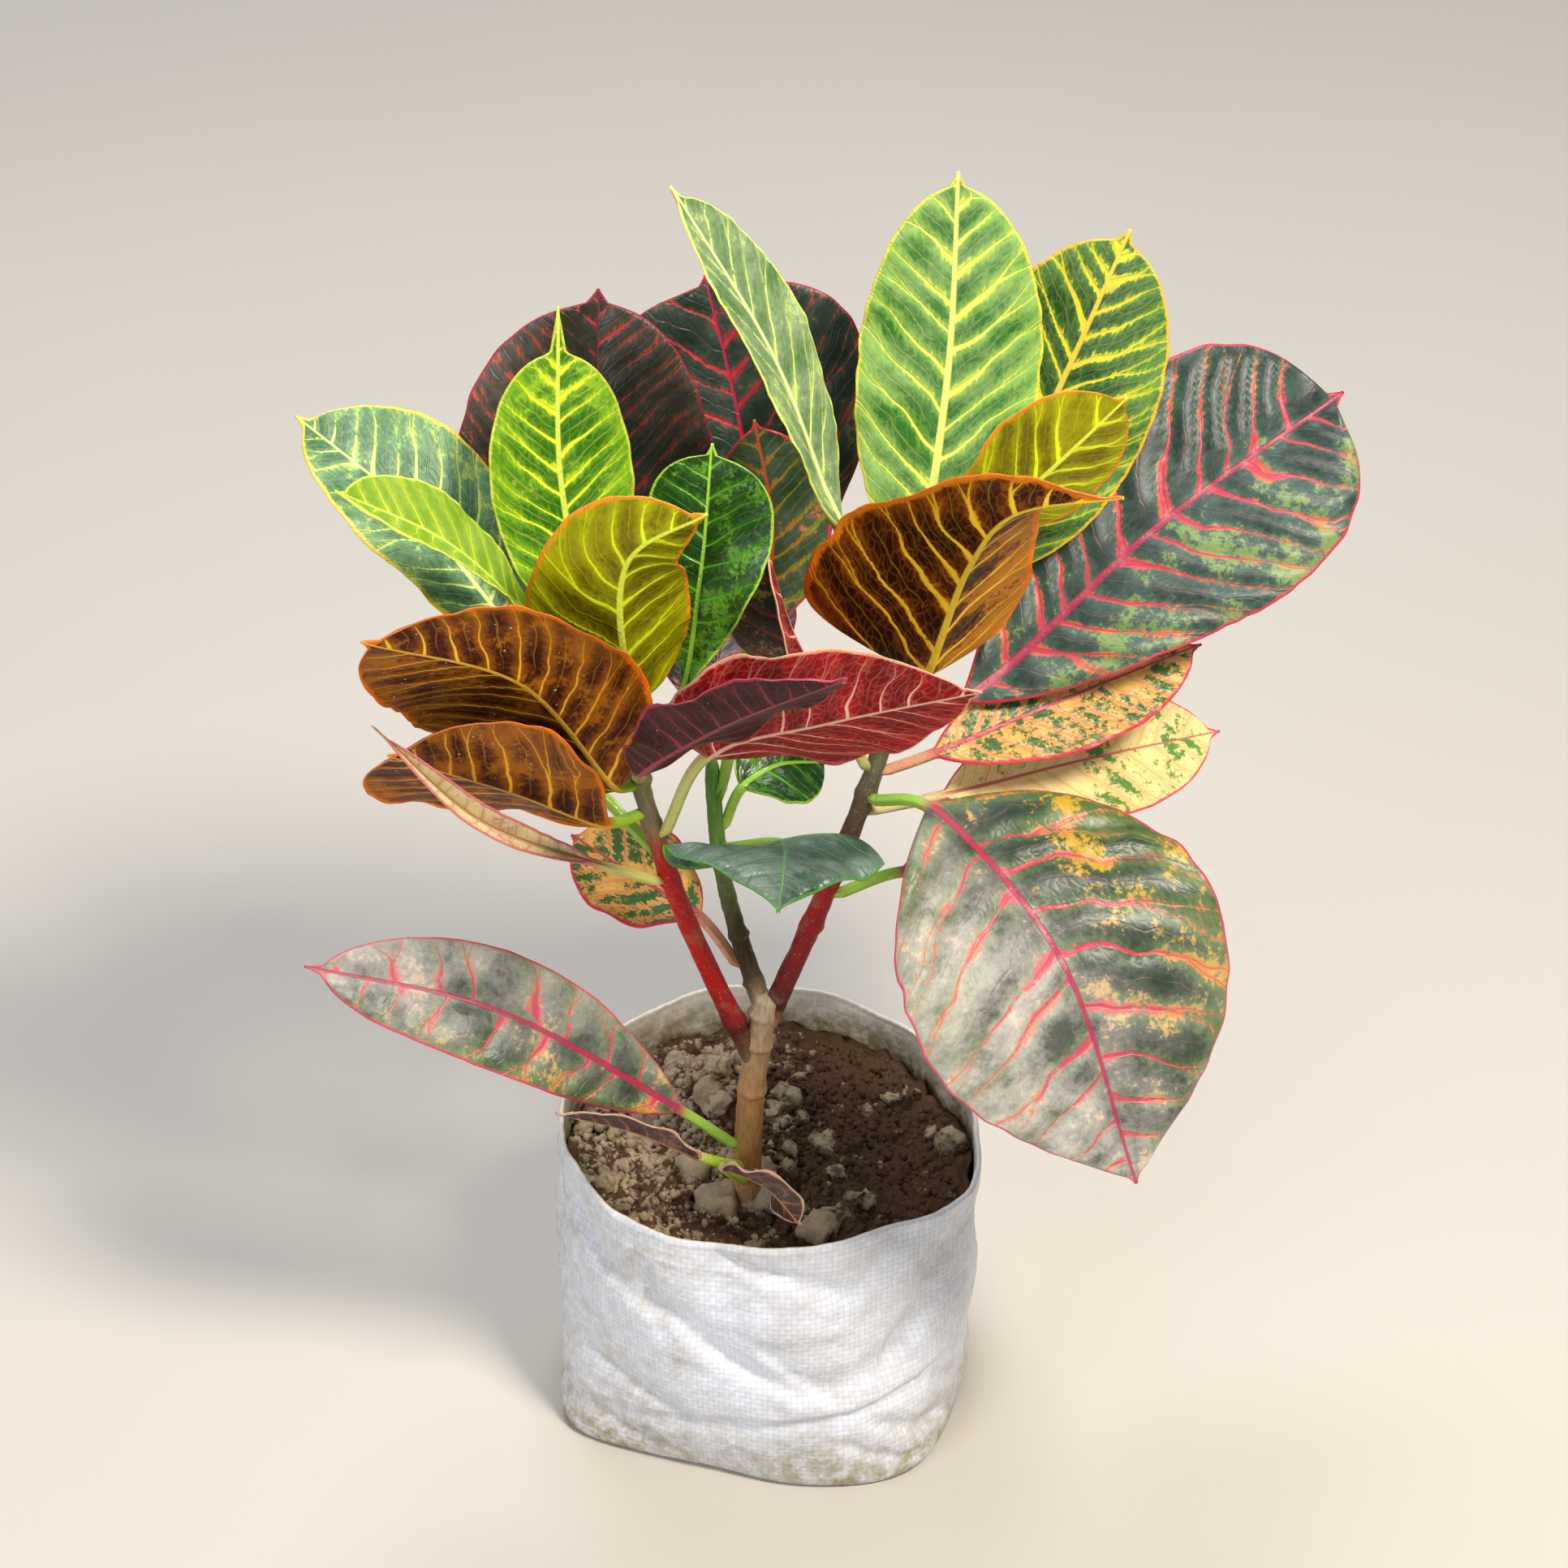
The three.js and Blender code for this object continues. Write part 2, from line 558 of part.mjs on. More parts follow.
// One ring of a leaf: across its upper side, then back across its under side.
function leafRing(leaf, index, middle, side, face, s, p) {
  const { edge, rib, petiole, columns } = BLADE;
  const { skew = 0 } = leaf;
  const least = lerp(petiole, 0.5, Math.min(1, s * 1.1));
  const halfWidth = Math.max((leaf.width / 2) * outlineAt(leaf.outline, s), least);
  const fold = degrees(leaf.fold) * p;
  const above = lerp(petiole, edge, Math.min(1, s * 8));
  const below = s === 0 ? petiole : lerp(rib, edge, s);
  const top = [];
  const bottom = [];
  for (let j = 0; j <= columns; j++) {
    const t = (2 * j) / columns - 1;
    const x = (halfWidth * (1 + skew * Math.sign(t)) * Math.sin(t * 1.4)) / Math.sin(1.4);
    const near = bell(x, petiole);
    const phase = index * 1.7 + (t > 0 ? 1.3 : 0);
    const ripple = Math.sin(6 * Math.PI * s + phase) * Math.min(1, s * 4) * (1 - s);
    const lift = Math.abs(x) * Math.tan(fold) + (leaf.curl * t * t * halfWidth * 2) / leaf.width;
    const at = middle
      .clone()
      .addScaledVector(side, x * Math.cos(fold))
      .addScaledVector(face, lift * Math.cos(fold) + leaf.wave * t * t * ripple);
    const lean = (1 - near) * Math.sign(x) * Math.sin(fold);
    const normal = face.clone().addScaledVector(side, -lean).normalize();
    top.push(at.clone().addScaledVector(normal, lerp(edge, above, near)));
    bottom.unshift(at.clone().addScaledVector(normal, -lerp(edge, below, near)));
  }
  return [...bottom, ...top];
}

// ---------------------------------------------------------------- the part

const plant = new THREE.Group();
plant.add(makeBag(), makeSoil(), makeStem());
LEAVES.forEach((leaf, index) => {
  const { color, roughness } = FINISHES[leaf.finish];
  plant.add(named(leaf.name, leafGeometry(leaf, index), color, roughness));
});

export default plant;
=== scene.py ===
"""A potted croton: patterned leaves on a forked woody stem, in a white woven grow sack filled with soil.

Lengths in the classes are millimetres in the part's own frame: the origin is the middle of the sack's flat
underside, +Z is up and -Y is the side that the plant is looked at from. Meshes are written in metres.
"""

import logging
import math
from collections.abc import Callable, Iterable, Mapping, Sequence
from dataclasses import dataclass, field, replace
from enum import Enum
from functools import partial
from typing import Any

import bpy
import numpy as np
from mathutils import Matrix, Vector, noise


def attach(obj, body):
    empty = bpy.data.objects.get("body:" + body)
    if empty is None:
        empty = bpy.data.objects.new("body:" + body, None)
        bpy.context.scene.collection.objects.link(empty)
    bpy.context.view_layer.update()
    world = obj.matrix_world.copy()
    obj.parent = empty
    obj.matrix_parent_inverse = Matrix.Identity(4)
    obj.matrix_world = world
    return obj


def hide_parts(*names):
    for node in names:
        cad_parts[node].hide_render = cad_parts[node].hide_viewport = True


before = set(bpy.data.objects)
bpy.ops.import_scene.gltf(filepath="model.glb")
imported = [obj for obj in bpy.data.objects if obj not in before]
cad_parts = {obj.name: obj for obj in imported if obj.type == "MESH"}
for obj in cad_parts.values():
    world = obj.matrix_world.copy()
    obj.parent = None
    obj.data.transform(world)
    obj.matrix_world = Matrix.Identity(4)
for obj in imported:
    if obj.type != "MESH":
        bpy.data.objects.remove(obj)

LOG = logging.getLogger("croton")
MM = 0.001
Array = np.ndarray
Piece = bpy.types.Object
Material = bpy.types.Material
Triple = tuple[float, float, float]
Mark = Any  # a node, which stands for its first output, or one of its outputs
Put = Callable[..., Any]  # adds a node to one tree

# Blender's identifiers of the nodes that come up often, and the settings that repeat.
MATH = "ShaderNodeMath"
VECTOR_MATH = "ShaderNodeVectorMath"
RANGE = "ShaderNodeMapRange"
MIX = "ShaderNodeMix"
NOISE = "ShaderNodeTexNoise"
CELLS = "ShaderNodeTexVoronoi"
SPLIT = "ShaderNodeSeparateXYZ"
JOIN = "ShaderNodeCombineXYZ"
ATTRIBUTE = "ShaderNodeAttribute"
BUMP = "ShaderNodeBump"
SOFT = {"interpolation_type": "SMOOTHSTEP"}
TIMES = {"operation": "MULTIPLY"}
TIMES_PLUS = {"operation": "MULTIPLY_ADD"}
RGBA = {"data_type": "RGBA"}


# ------------------------------------------------------------------------------------------ small tools


def linear(hex_colour: str) -> tuple[float, float, float, float]:
    """Turn an sRGB hex colour into Blender's linear RGBA.

    Args:
        hex_colour: Six hex digits after a hash sign.

    Returns:
        Linear red, green, blue and an alpha of one.
    """
    channels = [int(hex_colour[i : i + 2], 16) / 255 for i in (1, 3, 5)]
    red, green, blue = (c / 12.92 if c <= 0.04045 else ((c + 0.055) / 1.055) ** 2.4 for c in channels)
    return red, green, blue, 1.0


def add(tree: bpy.types.NodeTree, kind: str, inputs: Mapping[Any, Any] | None = None, **settings: Any) -> Any:
    """Add a node with its settings and links.

    Args:
        tree: The node tree that gets the node.
        kind: Blender's identifier of the node type.
        inputs: Values by the input's name or number. A node stands for its first output in use.
        **settings: Attributes that are set before the inputs.

    Returns:
        The new node.
    """
    node = tree.nodes.new(kind)
    for name, value in settings.items():
        setattr(node, name, value)
    for key, value in (inputs or {}).items():
        socket = node.inputs[key]
        if isinstance(value, bpy.types.Node):
            value = next(output for output in value.outputs if output.enabled)
        if isinstance(value, bpy.types.NodeSocket):
            tree.links.new(value, socket)
        else:
            socket.default_value = value
    return node


def new_material(name: str) -> tuple[Material, Put]:
    """Make an empty node material.

    Args:
        name: The material's name.

    Returns:
        The material and `add` for its cleared node tree.
    """
    material = bpy.data.materials.new(name)
    material.use_nodes = True
    material.node_tree.nodes.clear()
    return material, partial(add, material.node_tree)


def close(put: Put, colour: Mark, roughness: Any, normal: Mark, gloss: float) -> None:
    """Close a material with its shader and output.

    Args:
        put: `add` for the material's tree.
        colour: The surface's colour.
        roughness: Its roughness, as a number or a mark.
        normal: Its bump.
        gloss: Its specular level.
    """
    shader = put("ShaderNodeBsdfPrincipled", {"Base Color": colour, "Roughness": roughness, "Normal": normal,
                                              "Specular IOR Level": gloss})
    put("ShaderNodeOutputMaterial", {"Surface": shader})


def bell(distance: Any, spread: float) -> Any:
    """Give the height of a bell curve of height one at a distance from its middle."""
    return np.exp(-((distance / spread) ** 2))


def smooth(low: float, high: float, value: Any) -> Any:
    """Rise smoothly from zero at `low` to one at `high`."""
    share = np.clip((value - low) / (high - low), 0, 1)
    return share * share * (3 - 2 * share)


def unit(vectors: Array) -> Array:
    """Scale vectors along the last axis to length one."""
    return vectors / np.linalg.norm(vectors, axis=-1, keepdims=True)


def skin_faces(rows: int, around: int, first: int = 0) -> list[tuple[int, ...]]:
    """List the faces of a closed skin: quads between neighbouring rings, then a cap on each end.

    Args:
        rows: Number of rings.
        around: Vertices in a ring.
        first: Index of the first ring's first vertex.

    Returns:
        Faces as tuples of vertex indices.
    """
    faces = []
    for ring in range(first, first + (rows - 1) * around, around):
        for j in range(around):
            a, b = ring + j, ring + (j + 1) % around
            faces.append((a, b, b + around, a + around))
    last = first + (rows - 1) * around
    return [*faces, tuple(range(first + around - 1, first - 1, -1)), tuple(range(last, last + around))]


def make_object(name: str, points: Array, faces: Iterable[Sequence[int]]) -> Piece:
    """Make a smooth-shaded mesh object at the origin from points in millimetres.

    Args:
        name: The object's name.
        points: One row of x, y, z for each vertex, in millimetres.
        faces: Faces as sequences of vertex indices, facing outwards.

    Returns:
        The object, linked to the scene.
    """
    mesh = bpy.data.meshes.new(name)
    mesh.from_pydata((np.asarray(points) * MM).tolist(), [], [tuple(face) for face in faces])
    mesh.polygons.foreach_set("use_smooth", [True] * len(mesh.polygons))
    mesh.update()
    piece = bpy.data.objects.new(name, mesh)
    bpy.context.scene.collection.objects.link(piece)
    return piece


def store(piece: Piece, name: str, values: Array, domain: str = "POINT") -> None:
    """Store one vector for each vertex, or each corner, of a piece as an attribute.

    Args:
        piece: The mesh object.
        name: The attribute's name.
        values: One row of three numbers for each vertex or corner.
        domain: "POINT" for vertices or "CORNER" for face corners.
    """
    attribute = piece.data.attributes.new(name, "FLOAT_VECTOR", domain)
    attribute.data.foreach_set("vector", np.asarray(values, dtype=np.float32).ravel())


def finish_piece(piece: Piece, node: str | None = None) -> None:
    """Tell the frame what a piece rides on and the node it stands for.

    Args:
        piece: The finished mesh object.
        node: The CAD node that it replaces, if any.
    """
    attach(piece, "root")
    if node:
        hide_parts(node)
    LOG.info("%s: %d faces", piece.name, len(piece.data.polygons))


# ------------------------------------------------------------------------------------------ curves


@dataclass(frozen=True)
class Bezier:
    """A cubic Bezier curve in millimetres."""

    points: tuple[Triple, Triple, Triple, Triple]

    def at(self, t: Any) -> Array:
        """Give the points at parameters from 0 to 1.

        Args:
            t: One parameter or an array of them.

        Returns:
            One row of x, y, z for each parameter.
        """
        t = np.atleast_1d(np.asarray(t, dtype=float))[:, None]
        a, b, c, d = (np.array(p, dtype=float) for p in self.points)
        return (1 - t) ** 3 * a + 3 * (1 - t) ** 2 * t * b + 3 * (1 - t) * t**2 * c + t**3 * d

    def heading(self, t: Any) -> Array:
        """Give the unit tangents at parameters from 0 to 1."""
        t = np.atleast_1d(np.asarray(t, dtype=float))
        return unit(self.at(np.minimum(t + 1e-4, 1)) - self.at(np.maximum(t - 1e-4, 0)))


@dataclass
class Ribbon:
    """A centripetal Catmull-Rom curve through points, read by its share of length."""

    points: Sequence[Array]
    samples: int = 1200
    shares: Array = field(init=False)
    places: Array = field(init=False)
    length: float = field(init=False)

    def __post_init__(self) -> None:
        """Sample the curve and measure its length."""
        count = len(self.points) - 1
        steps = np.linspace(0, 1, self.samples + 1)
        self.places = np.array([self._place(t * count) for t in steps])
        runs = np.linalg.norm(np.diff(self.places, axis=0), axis=1)
        lengths = np.concatenate([[0], np.cumsum(runs)])
        self.length = float(lengths[-1])
        self.shares = lengths / self.length

    def _place(self, position: float) -> Array:
        """Give the point at a position counted in spans."""
        p, last = self.points, len(self.points) - 1
        i = min(int(position), last - 1)
        w = position - i
        before = p[i - 1] if i else 2 * p[0] - p[1]
        after = p[i + 2] if i + 2 <= last else 2 * p[last] - p[last - 1]
        x1, x2 = p[i], p[i + 1]
        d0, d1, d2 = (float(np.sum((b - a) ** 2)) ** 0.25 for a, b in ((before, x1), (x1, x2), (x2, after)))
        t1 = ((x1 - before) / d0 - (x2 - before) / (d0 + d1) + (x2 - x1) / d1) * d1
        t2 = ((x2 - x1) / d1 - (after - x1) / (d1 + d2) + (after - x2) / d2) * d1
        return x1 + t1 * w + (-3 * x1 + 3 * x2 - 2 * t1 - t2) * w**2 + (2 * x1 - 2 * x2 + t1 + t2) * w**3

    def share_of_span(self, span: int) -> float:
        """Give the share of length at the end of the first spans."""
        return float(self.shares[span * self.samples // (len(self.points) - 1)])

    def at(self, shares: Array) -> Array:
        """Give the points at shares of the length."""
        return np.stack([np.interp(shares, self.shares, self.places[:, k]) for k in range(3)], axis=-1)

    def heading(self, shares: Array) -> Array:
        """Give the unit tangents at shares of the length."""
        step = 0.004
        return unit(self.at(np.clip(shares + step, 0, 1)) - self.at(np.clip(shares - step, 0, 1)))


# ------------------------------------------------------------------------------------------ stem


@dataclass(frozen=True)
class Shoot:
    """One woody shoot: its course, thickness, closing bud, leaf scars and bark colours along it."""

    course: Bezier
    radius: tuple[float, float]
    bud: float
    scars: tuple[float, ...]
    tints: tuple[tuple[float, str], ...]

    def radius_at(self, t: Any) -> Any:
        """Give the radius at a parameter, swollen at the old leaf scars."""
        swelling = sum(0.5 * bell(np.asarray(t) - scar, 0.03) for scar in self.scars)
        return self.radius[0] + (self.radius[1] - self.radius[0]) * np.asarray(t) + swelling


SHOOTS = {
    "trunk": Shoot(
        Bezier(((-6, -17, 58), (-9, -18, 110), (-7, -16, 150), (0, -15, 184))),
        (5.4, 4.6),
        2,
        (0.64, 0.82, 0.94),
        ((0, "#8a6440"), (0.4, "#b98650"), (0.6, "#bc8a58"), (0.74, "#b08a60"), (0.8, "#a3845e"),
         (1, "#a59278")),
    ),
    "left": Shoot(
        Bezier(((-5, -16, 158), (-24, -20, 210), (-42, -30, 262), (-46, -33, 322))),
        (3.8, 2.9),
        9,
        (0.12, 0.55, 0.7, 0.82),
        ((0, "#7a5c40"), (0.1, "#4d1610"), (0.18, "#94100c"), (0.3, "#bc120c"), (0.6, "#b4100c"),
         (0.68, "#8a4a34"), (0.72, "#75664a"), (0.84, "#6f6a48"), (0.92, "#6b8a3a"), (1, "#5f8a34")),
    ),
    "right": Shoot(
        Bezier(((0, -15, 174), (17, -12, 220), (36, -8, 262), (50, 0, 328))),
        (3.9, 3.0),
        9,
        (0.3, 0.52, 0.66, 0.78),
        ((0, "#a8805a"), (0.06, "#44100c"), (0.22, "#7c100c"), (0.4, "#a81410"), (0.5, "#641812"),
         (0.58, "#4c3426"), (0.66, "#5c4c38"), (0.78, "#6a6a50"), (0.84, "#5f8a40"), (1, "#4f8a34")),
    ),
    "centre": Shoot(
        Bezier(((-1, -15, 178), (-8, -5, 200), (-18, 6, 215), (-19, 12, 262))),
        (3.6, 2.6),
        8,
        (0.16, 0.4, 0.75),
        ((0, "#8f7a5c"), (0.12, "#7d6a4c"), (0.2, "#4a3a24"), (0.5, "#4f4a2a"), (0.8, "#5a7a34"),
         (1, "#5a8f3a")),
    ),
}


@dataclass
class Stem:
    """The woody stem with its three shoots, as one skin with scars, knuckles and buds."""

    sides: int = 32
    steps: int = 150
    relief: float = 0.28

    def build(self) -> Piece:
        """Build the bark's mesh with its tints, and dress it.

        Returns:
            The stem's object.
        """
        points, faces, tints, places = [], [], [], []
        for index, shoot in enumerate(SHOOTS.values()):
            first = sum(len(p) for p in points)
            rings, share = self._rings(shoot, index)
            points.append(rings.reshape(-1, 3))
            rows = len(rings)
            faces += skin_faces(rows, self.sides, first)
            along = np.repeat(share, self.sides)
            tints.append(self._tint(shoot, along))
            runs = np.diff(shoot.course.at(np.linspace(0, 1, 60)), axis=0)
            length = float(np.linalg.norm(runs, axis=1).sum())
            turn = np.tile(np.arange(self.sides) / self.sides, rows)
            girth = 2 * math.pi * shoot.radius[0]
            own = np.full(along.shape, index * 40.0)  # keeps the shoots apart in the bark's noises
            places.append(np.stack([turn * girth, along * length, own], axis=-1))
        piece = make_object("stem_bark", np.concatenate(points), faces)
        store(piece, "tint", np.concatenate(tints))
        store(piece, "bark", np.concatenate(places))
        piece.data.materials.append(BarkFinish().material())
        finish_piece(piece, "stem")
        return piece

    def _rings(self, shoot: Shoot, index: int) -> tuple[Array, Array]:
        """Give a shoot's rings of points and each ring's share of the course."""
        t = np.linspace(0, 1, self.steps)
        past = np.array([0.25, 0.5, 0.72, 0.88, 0.97])
        share = np.concatenate([t, np.ones(len(past))])
        reach = np.concatenate([np.zeros(self.steps), past * shoot.bud])
        close = np.concatenate([np.ones(self.steps), np.sqrt(np.clip(1 - past**2, 0.01, 1))])
        middle = shoot.course.at(share)
        along = shoot.course.heading(share)
        middle = middle + along * reach[:, None]
        across = unit(np.cross(np.array([0.0, 1.0, 0.0]), along))
        third = np.cross(along, across)
        turn = np.arange(self.sides) / self.sides * 2 * math.pi
        radius = (shoot.radius_at(share) * close)[:, None] * np.ones(self.sides)
        for scar in shoot.scars:
            # A leaf scar is a half-moon shelf on one side of the shoot, with a groove under it.
            facing = 0.5 + 0.5 * np.cos(turn - scar * 37 - index)
            radius += 0.7 * bell(share - scar, 0.012)[:, None] * facing[None, :] ** 2
            radius -= 0.35 * bell(share - scar + 0.02, 0.01)[:, None] * facing[None, :]
        for i, s in enumerate(share):
            for j, a in enumerate(turn):
                spot = Vector((2.2 * math.cos(a), 2.2 * math.sin(a), s * 26 + index * 11))
                radius[i, j] += self.relief * close[i] * noise.fractal(spot, 0.9, 2.1, 4)
        cos, sin = np.cos(turn)[None, :, None], np.sin(turn)[None, :, None]
        outward = across[:, None, :] * cos + third[:, None, :] * sin
        return middle[:, None, :] + outward * radius[:, :, None], share

    @staticmethod
    def _tint(shoot: Shoot, along: Array) -> Array:
        """Blend a shoot's bark colours along its course, in linear light."""
        stops = [share for share, _ in shoot.tints]
        colours = np.array([linear(colour)[:3] for _, colour in shoot.tints])
        return np.stack([np.interp(along, stops, colours[:, k]) for k in range(3)], axis=-1)


@dataclass(frozen=True)
class BarkFinish:
    """Thin young bark: tan and finely furrowed on old wood, smooth and red or green on the year's growth."""

    furrow: float = 1.4  # millimetres between furrows
    speck: float = 2.0  # millimetres between lenticels

    def material(self) -> Material:
        """Build the bark's material.

        Returns:
            The material, with the colour from the stem's own tint attribute.
        """
        material, put = new_material("croton_bark")
        tint = put(ATTRIBUTE, attribute_name="tint")
        bark = put(ATTRIBUTE, attribute_name="bark").outputs["Vector"]
        # Furrows run along the shoot, so the pattern is squeezed across it and stretched along it.
        stretch = put(VECTOR_MATH, {0: bark, 1: (1 / self.furrow, 0.22 / self.furrow, 1)}, **TIMES)
        streak = put(NOISE, {"Vector": stretch, "Scale": 1.0, "Detail": 5.0, "Roughness": 0.65})
        lenticel = put(CELLS, {"Vector": bark, "Scale": 1 / self.speck}, feature="F1")
        fleck = put(RANGE, {"Value": lenticel, "From Min": 0.24, "From Max": 0.1}, **SOFT)
        blotch = put(NOISE, {"Vector": bark, "Scale": 0.13, "Detail": 3.0})
        darker = put(RANGE, {"Value": streak, "From Min": 0.34, "From Max": 0.66, "To Min": 0.74,
                             "To Max": 1.18})
        shade = put(VECTOR_MATH, {0: tint, "Scale": darker}, operation="SCALE")
        patch = put(RANGE, {"Value": blotch, "From Min": 0.54, "From Max": 0.68, "To Max": 0.2}, **SOFT)
        aged = put(MIX, {0: patch, 6: shade, 7: linear("#8d8064")}, **RGBA)
        marked = put(MATH, {0: fleck, 1: 0.2}, **TIMES)
        colour = put(MIX, {0: marked, 6: aged, 7: linear("#c9b48c")}, **RGBA)
        bump = put(BUMP, {"Strength": 0.6, "Distance": 0.0006, "Height": streak})
        close(put, colour, 0.5, bump, 0.25)
        return material


# ------------------------------------------------------------------------------------------ leaf finishes


@dataclass(frozen=True)
class LeafSide:
    """How one side of a blade looks: its ground, veins, margin and film of dust and painted sheen."""

    ground: tuple[str, str]  # two tones that the ground drifts between
    vein: str
    flare: tuple[str, str]  # the colour that runs out of the veins, near the rib and near the margin
    rib: str
    margin: str
    patch: str = "#7a9a2a"
    patches: float = 0.25  # share of the blade that the patches take
    clear: float = 0.0  # millimetres that the patches keep off the veins
    vein_width: float = 0.5  # millimetres to each side of a lateral vein's middle, near the rib
    flare_width: float = 0.8  # greatest reach of the flare beyond the vein, in millimetres
    ragged: float = 1.4  # millimetres that the flare's edge wanders
    broken: float = 0.0  # share of the veins that fades into the ground
    between: float = 0.2  # strength of the thin veins between the laterals
    rib_width: float = 1.3
    margin_width: float = 0.8
    net: float = 0.0  # strength of the fine net between the veins
    net_colour: str = "#c9a23a"
    # The film over the blade, its strength and colour: real dust, and on some leaves mostly painted sheen, a
    # pale gloss of light put into the colour.
    dust: float = 0.08
    dust_colour: str = "#c4c8c0"
    specks: float = 0.0
    roughness: float = 0.4
    gloss: float = 0.34
    outward: float = 0.0  # how much the second ground tone gathers near the margin
    halo: float = 0.3  # how much it gathers beside the veins
    uneven: float = 0.0  # how much dustier and paler the right half is than the left, or, below zero, less; where the film is painted sheen, this paler half is painted sheen too
    tipward_sheen: float = 0.0  # how much more of the film lies near the tip than near the foot: painted sheen
    gather: float = 0.0  # how much the patches gather on the right half, or, below zero, on the left
    raised: float = 1.0  # one where the veins lie in, minus one where they stand out


@dataclass(frozen=True)
class LeafLook:
    """A leaf's two sides, its petiole and how its lateral veins run."""

    slot: str
    upper: LeafSide
    under: LeafSide
    petiole: tuple[str, str] = ("#7fae34", "#a4c84a")
    spacing: float = 11.0  # millimetres between lateral veins along the rib
    lean: float = 0.55  # millimetres that a lateral vein climbs for each one it goes out
    rise: float = 0.004  # how much more it climbs near the margin
    pucker: float = 0.6  # height in millimetres of the swelling between veins


# Each side starts with its ground's two tones, its vein, its flare's two tones, its rib and its margin. The
# under sides share some settings: their veins stand out, and they have a net and no patches unless said.
underside = partial(
    LeafSide, patches=0.0, flare_width=0.3, net=0.25, dust=0.05, roughness=0.42, gloss=0.25, raised=-1.0,
)
MAROON_UNDER = underside(
    ("#3a0c18", "#5a1420"), "#b85a64", ("#7a2230", "#8a2a38"), "#cc808c", "#a02c40", flare_width=0.5,
    net=0.3, net_colour="#a84a56", specks=0.3, roughness=0.5, gloss=0.2,
)
OLIVE_UNDER = underside(
    ("#5c640c", "#787c14"), "#c0d040", ("#a0b028", "#a8b430"), "#c8d858", "#d8902a", flare_width=0.5,
    net_colour="#a0b030", roughness=0.5, gloss=0.2,
)
GREEN_UNDER = underside(
    ("#4c7020", "#5c8028"), "#a4c458", ("#7c9c3c", "#84a440"), "#b8d468", "#94b440", flare_width=0.4,
    net_colour="#8cac44", roughness=0.55, gloss=0.2,
)
LIME_UNDER = underside(
    ("#749c04", "#98b80a"), "#c8d838", ("#a4c414", "#b0c81c"), "#c8dc54", "#d0d858", vein_width=0.3,
    between=0.1, net=0.15, net_colour="#bce040",
)
BRONZE_UPPER = LeafSide(
    ("#1f3a1c", "#2c4c20"), "#d8a83a", ("#b88a2c", "#98882c"), "#d8b04a", "#d8702a", patch="#6c7c24",
    patches=0.2,
)


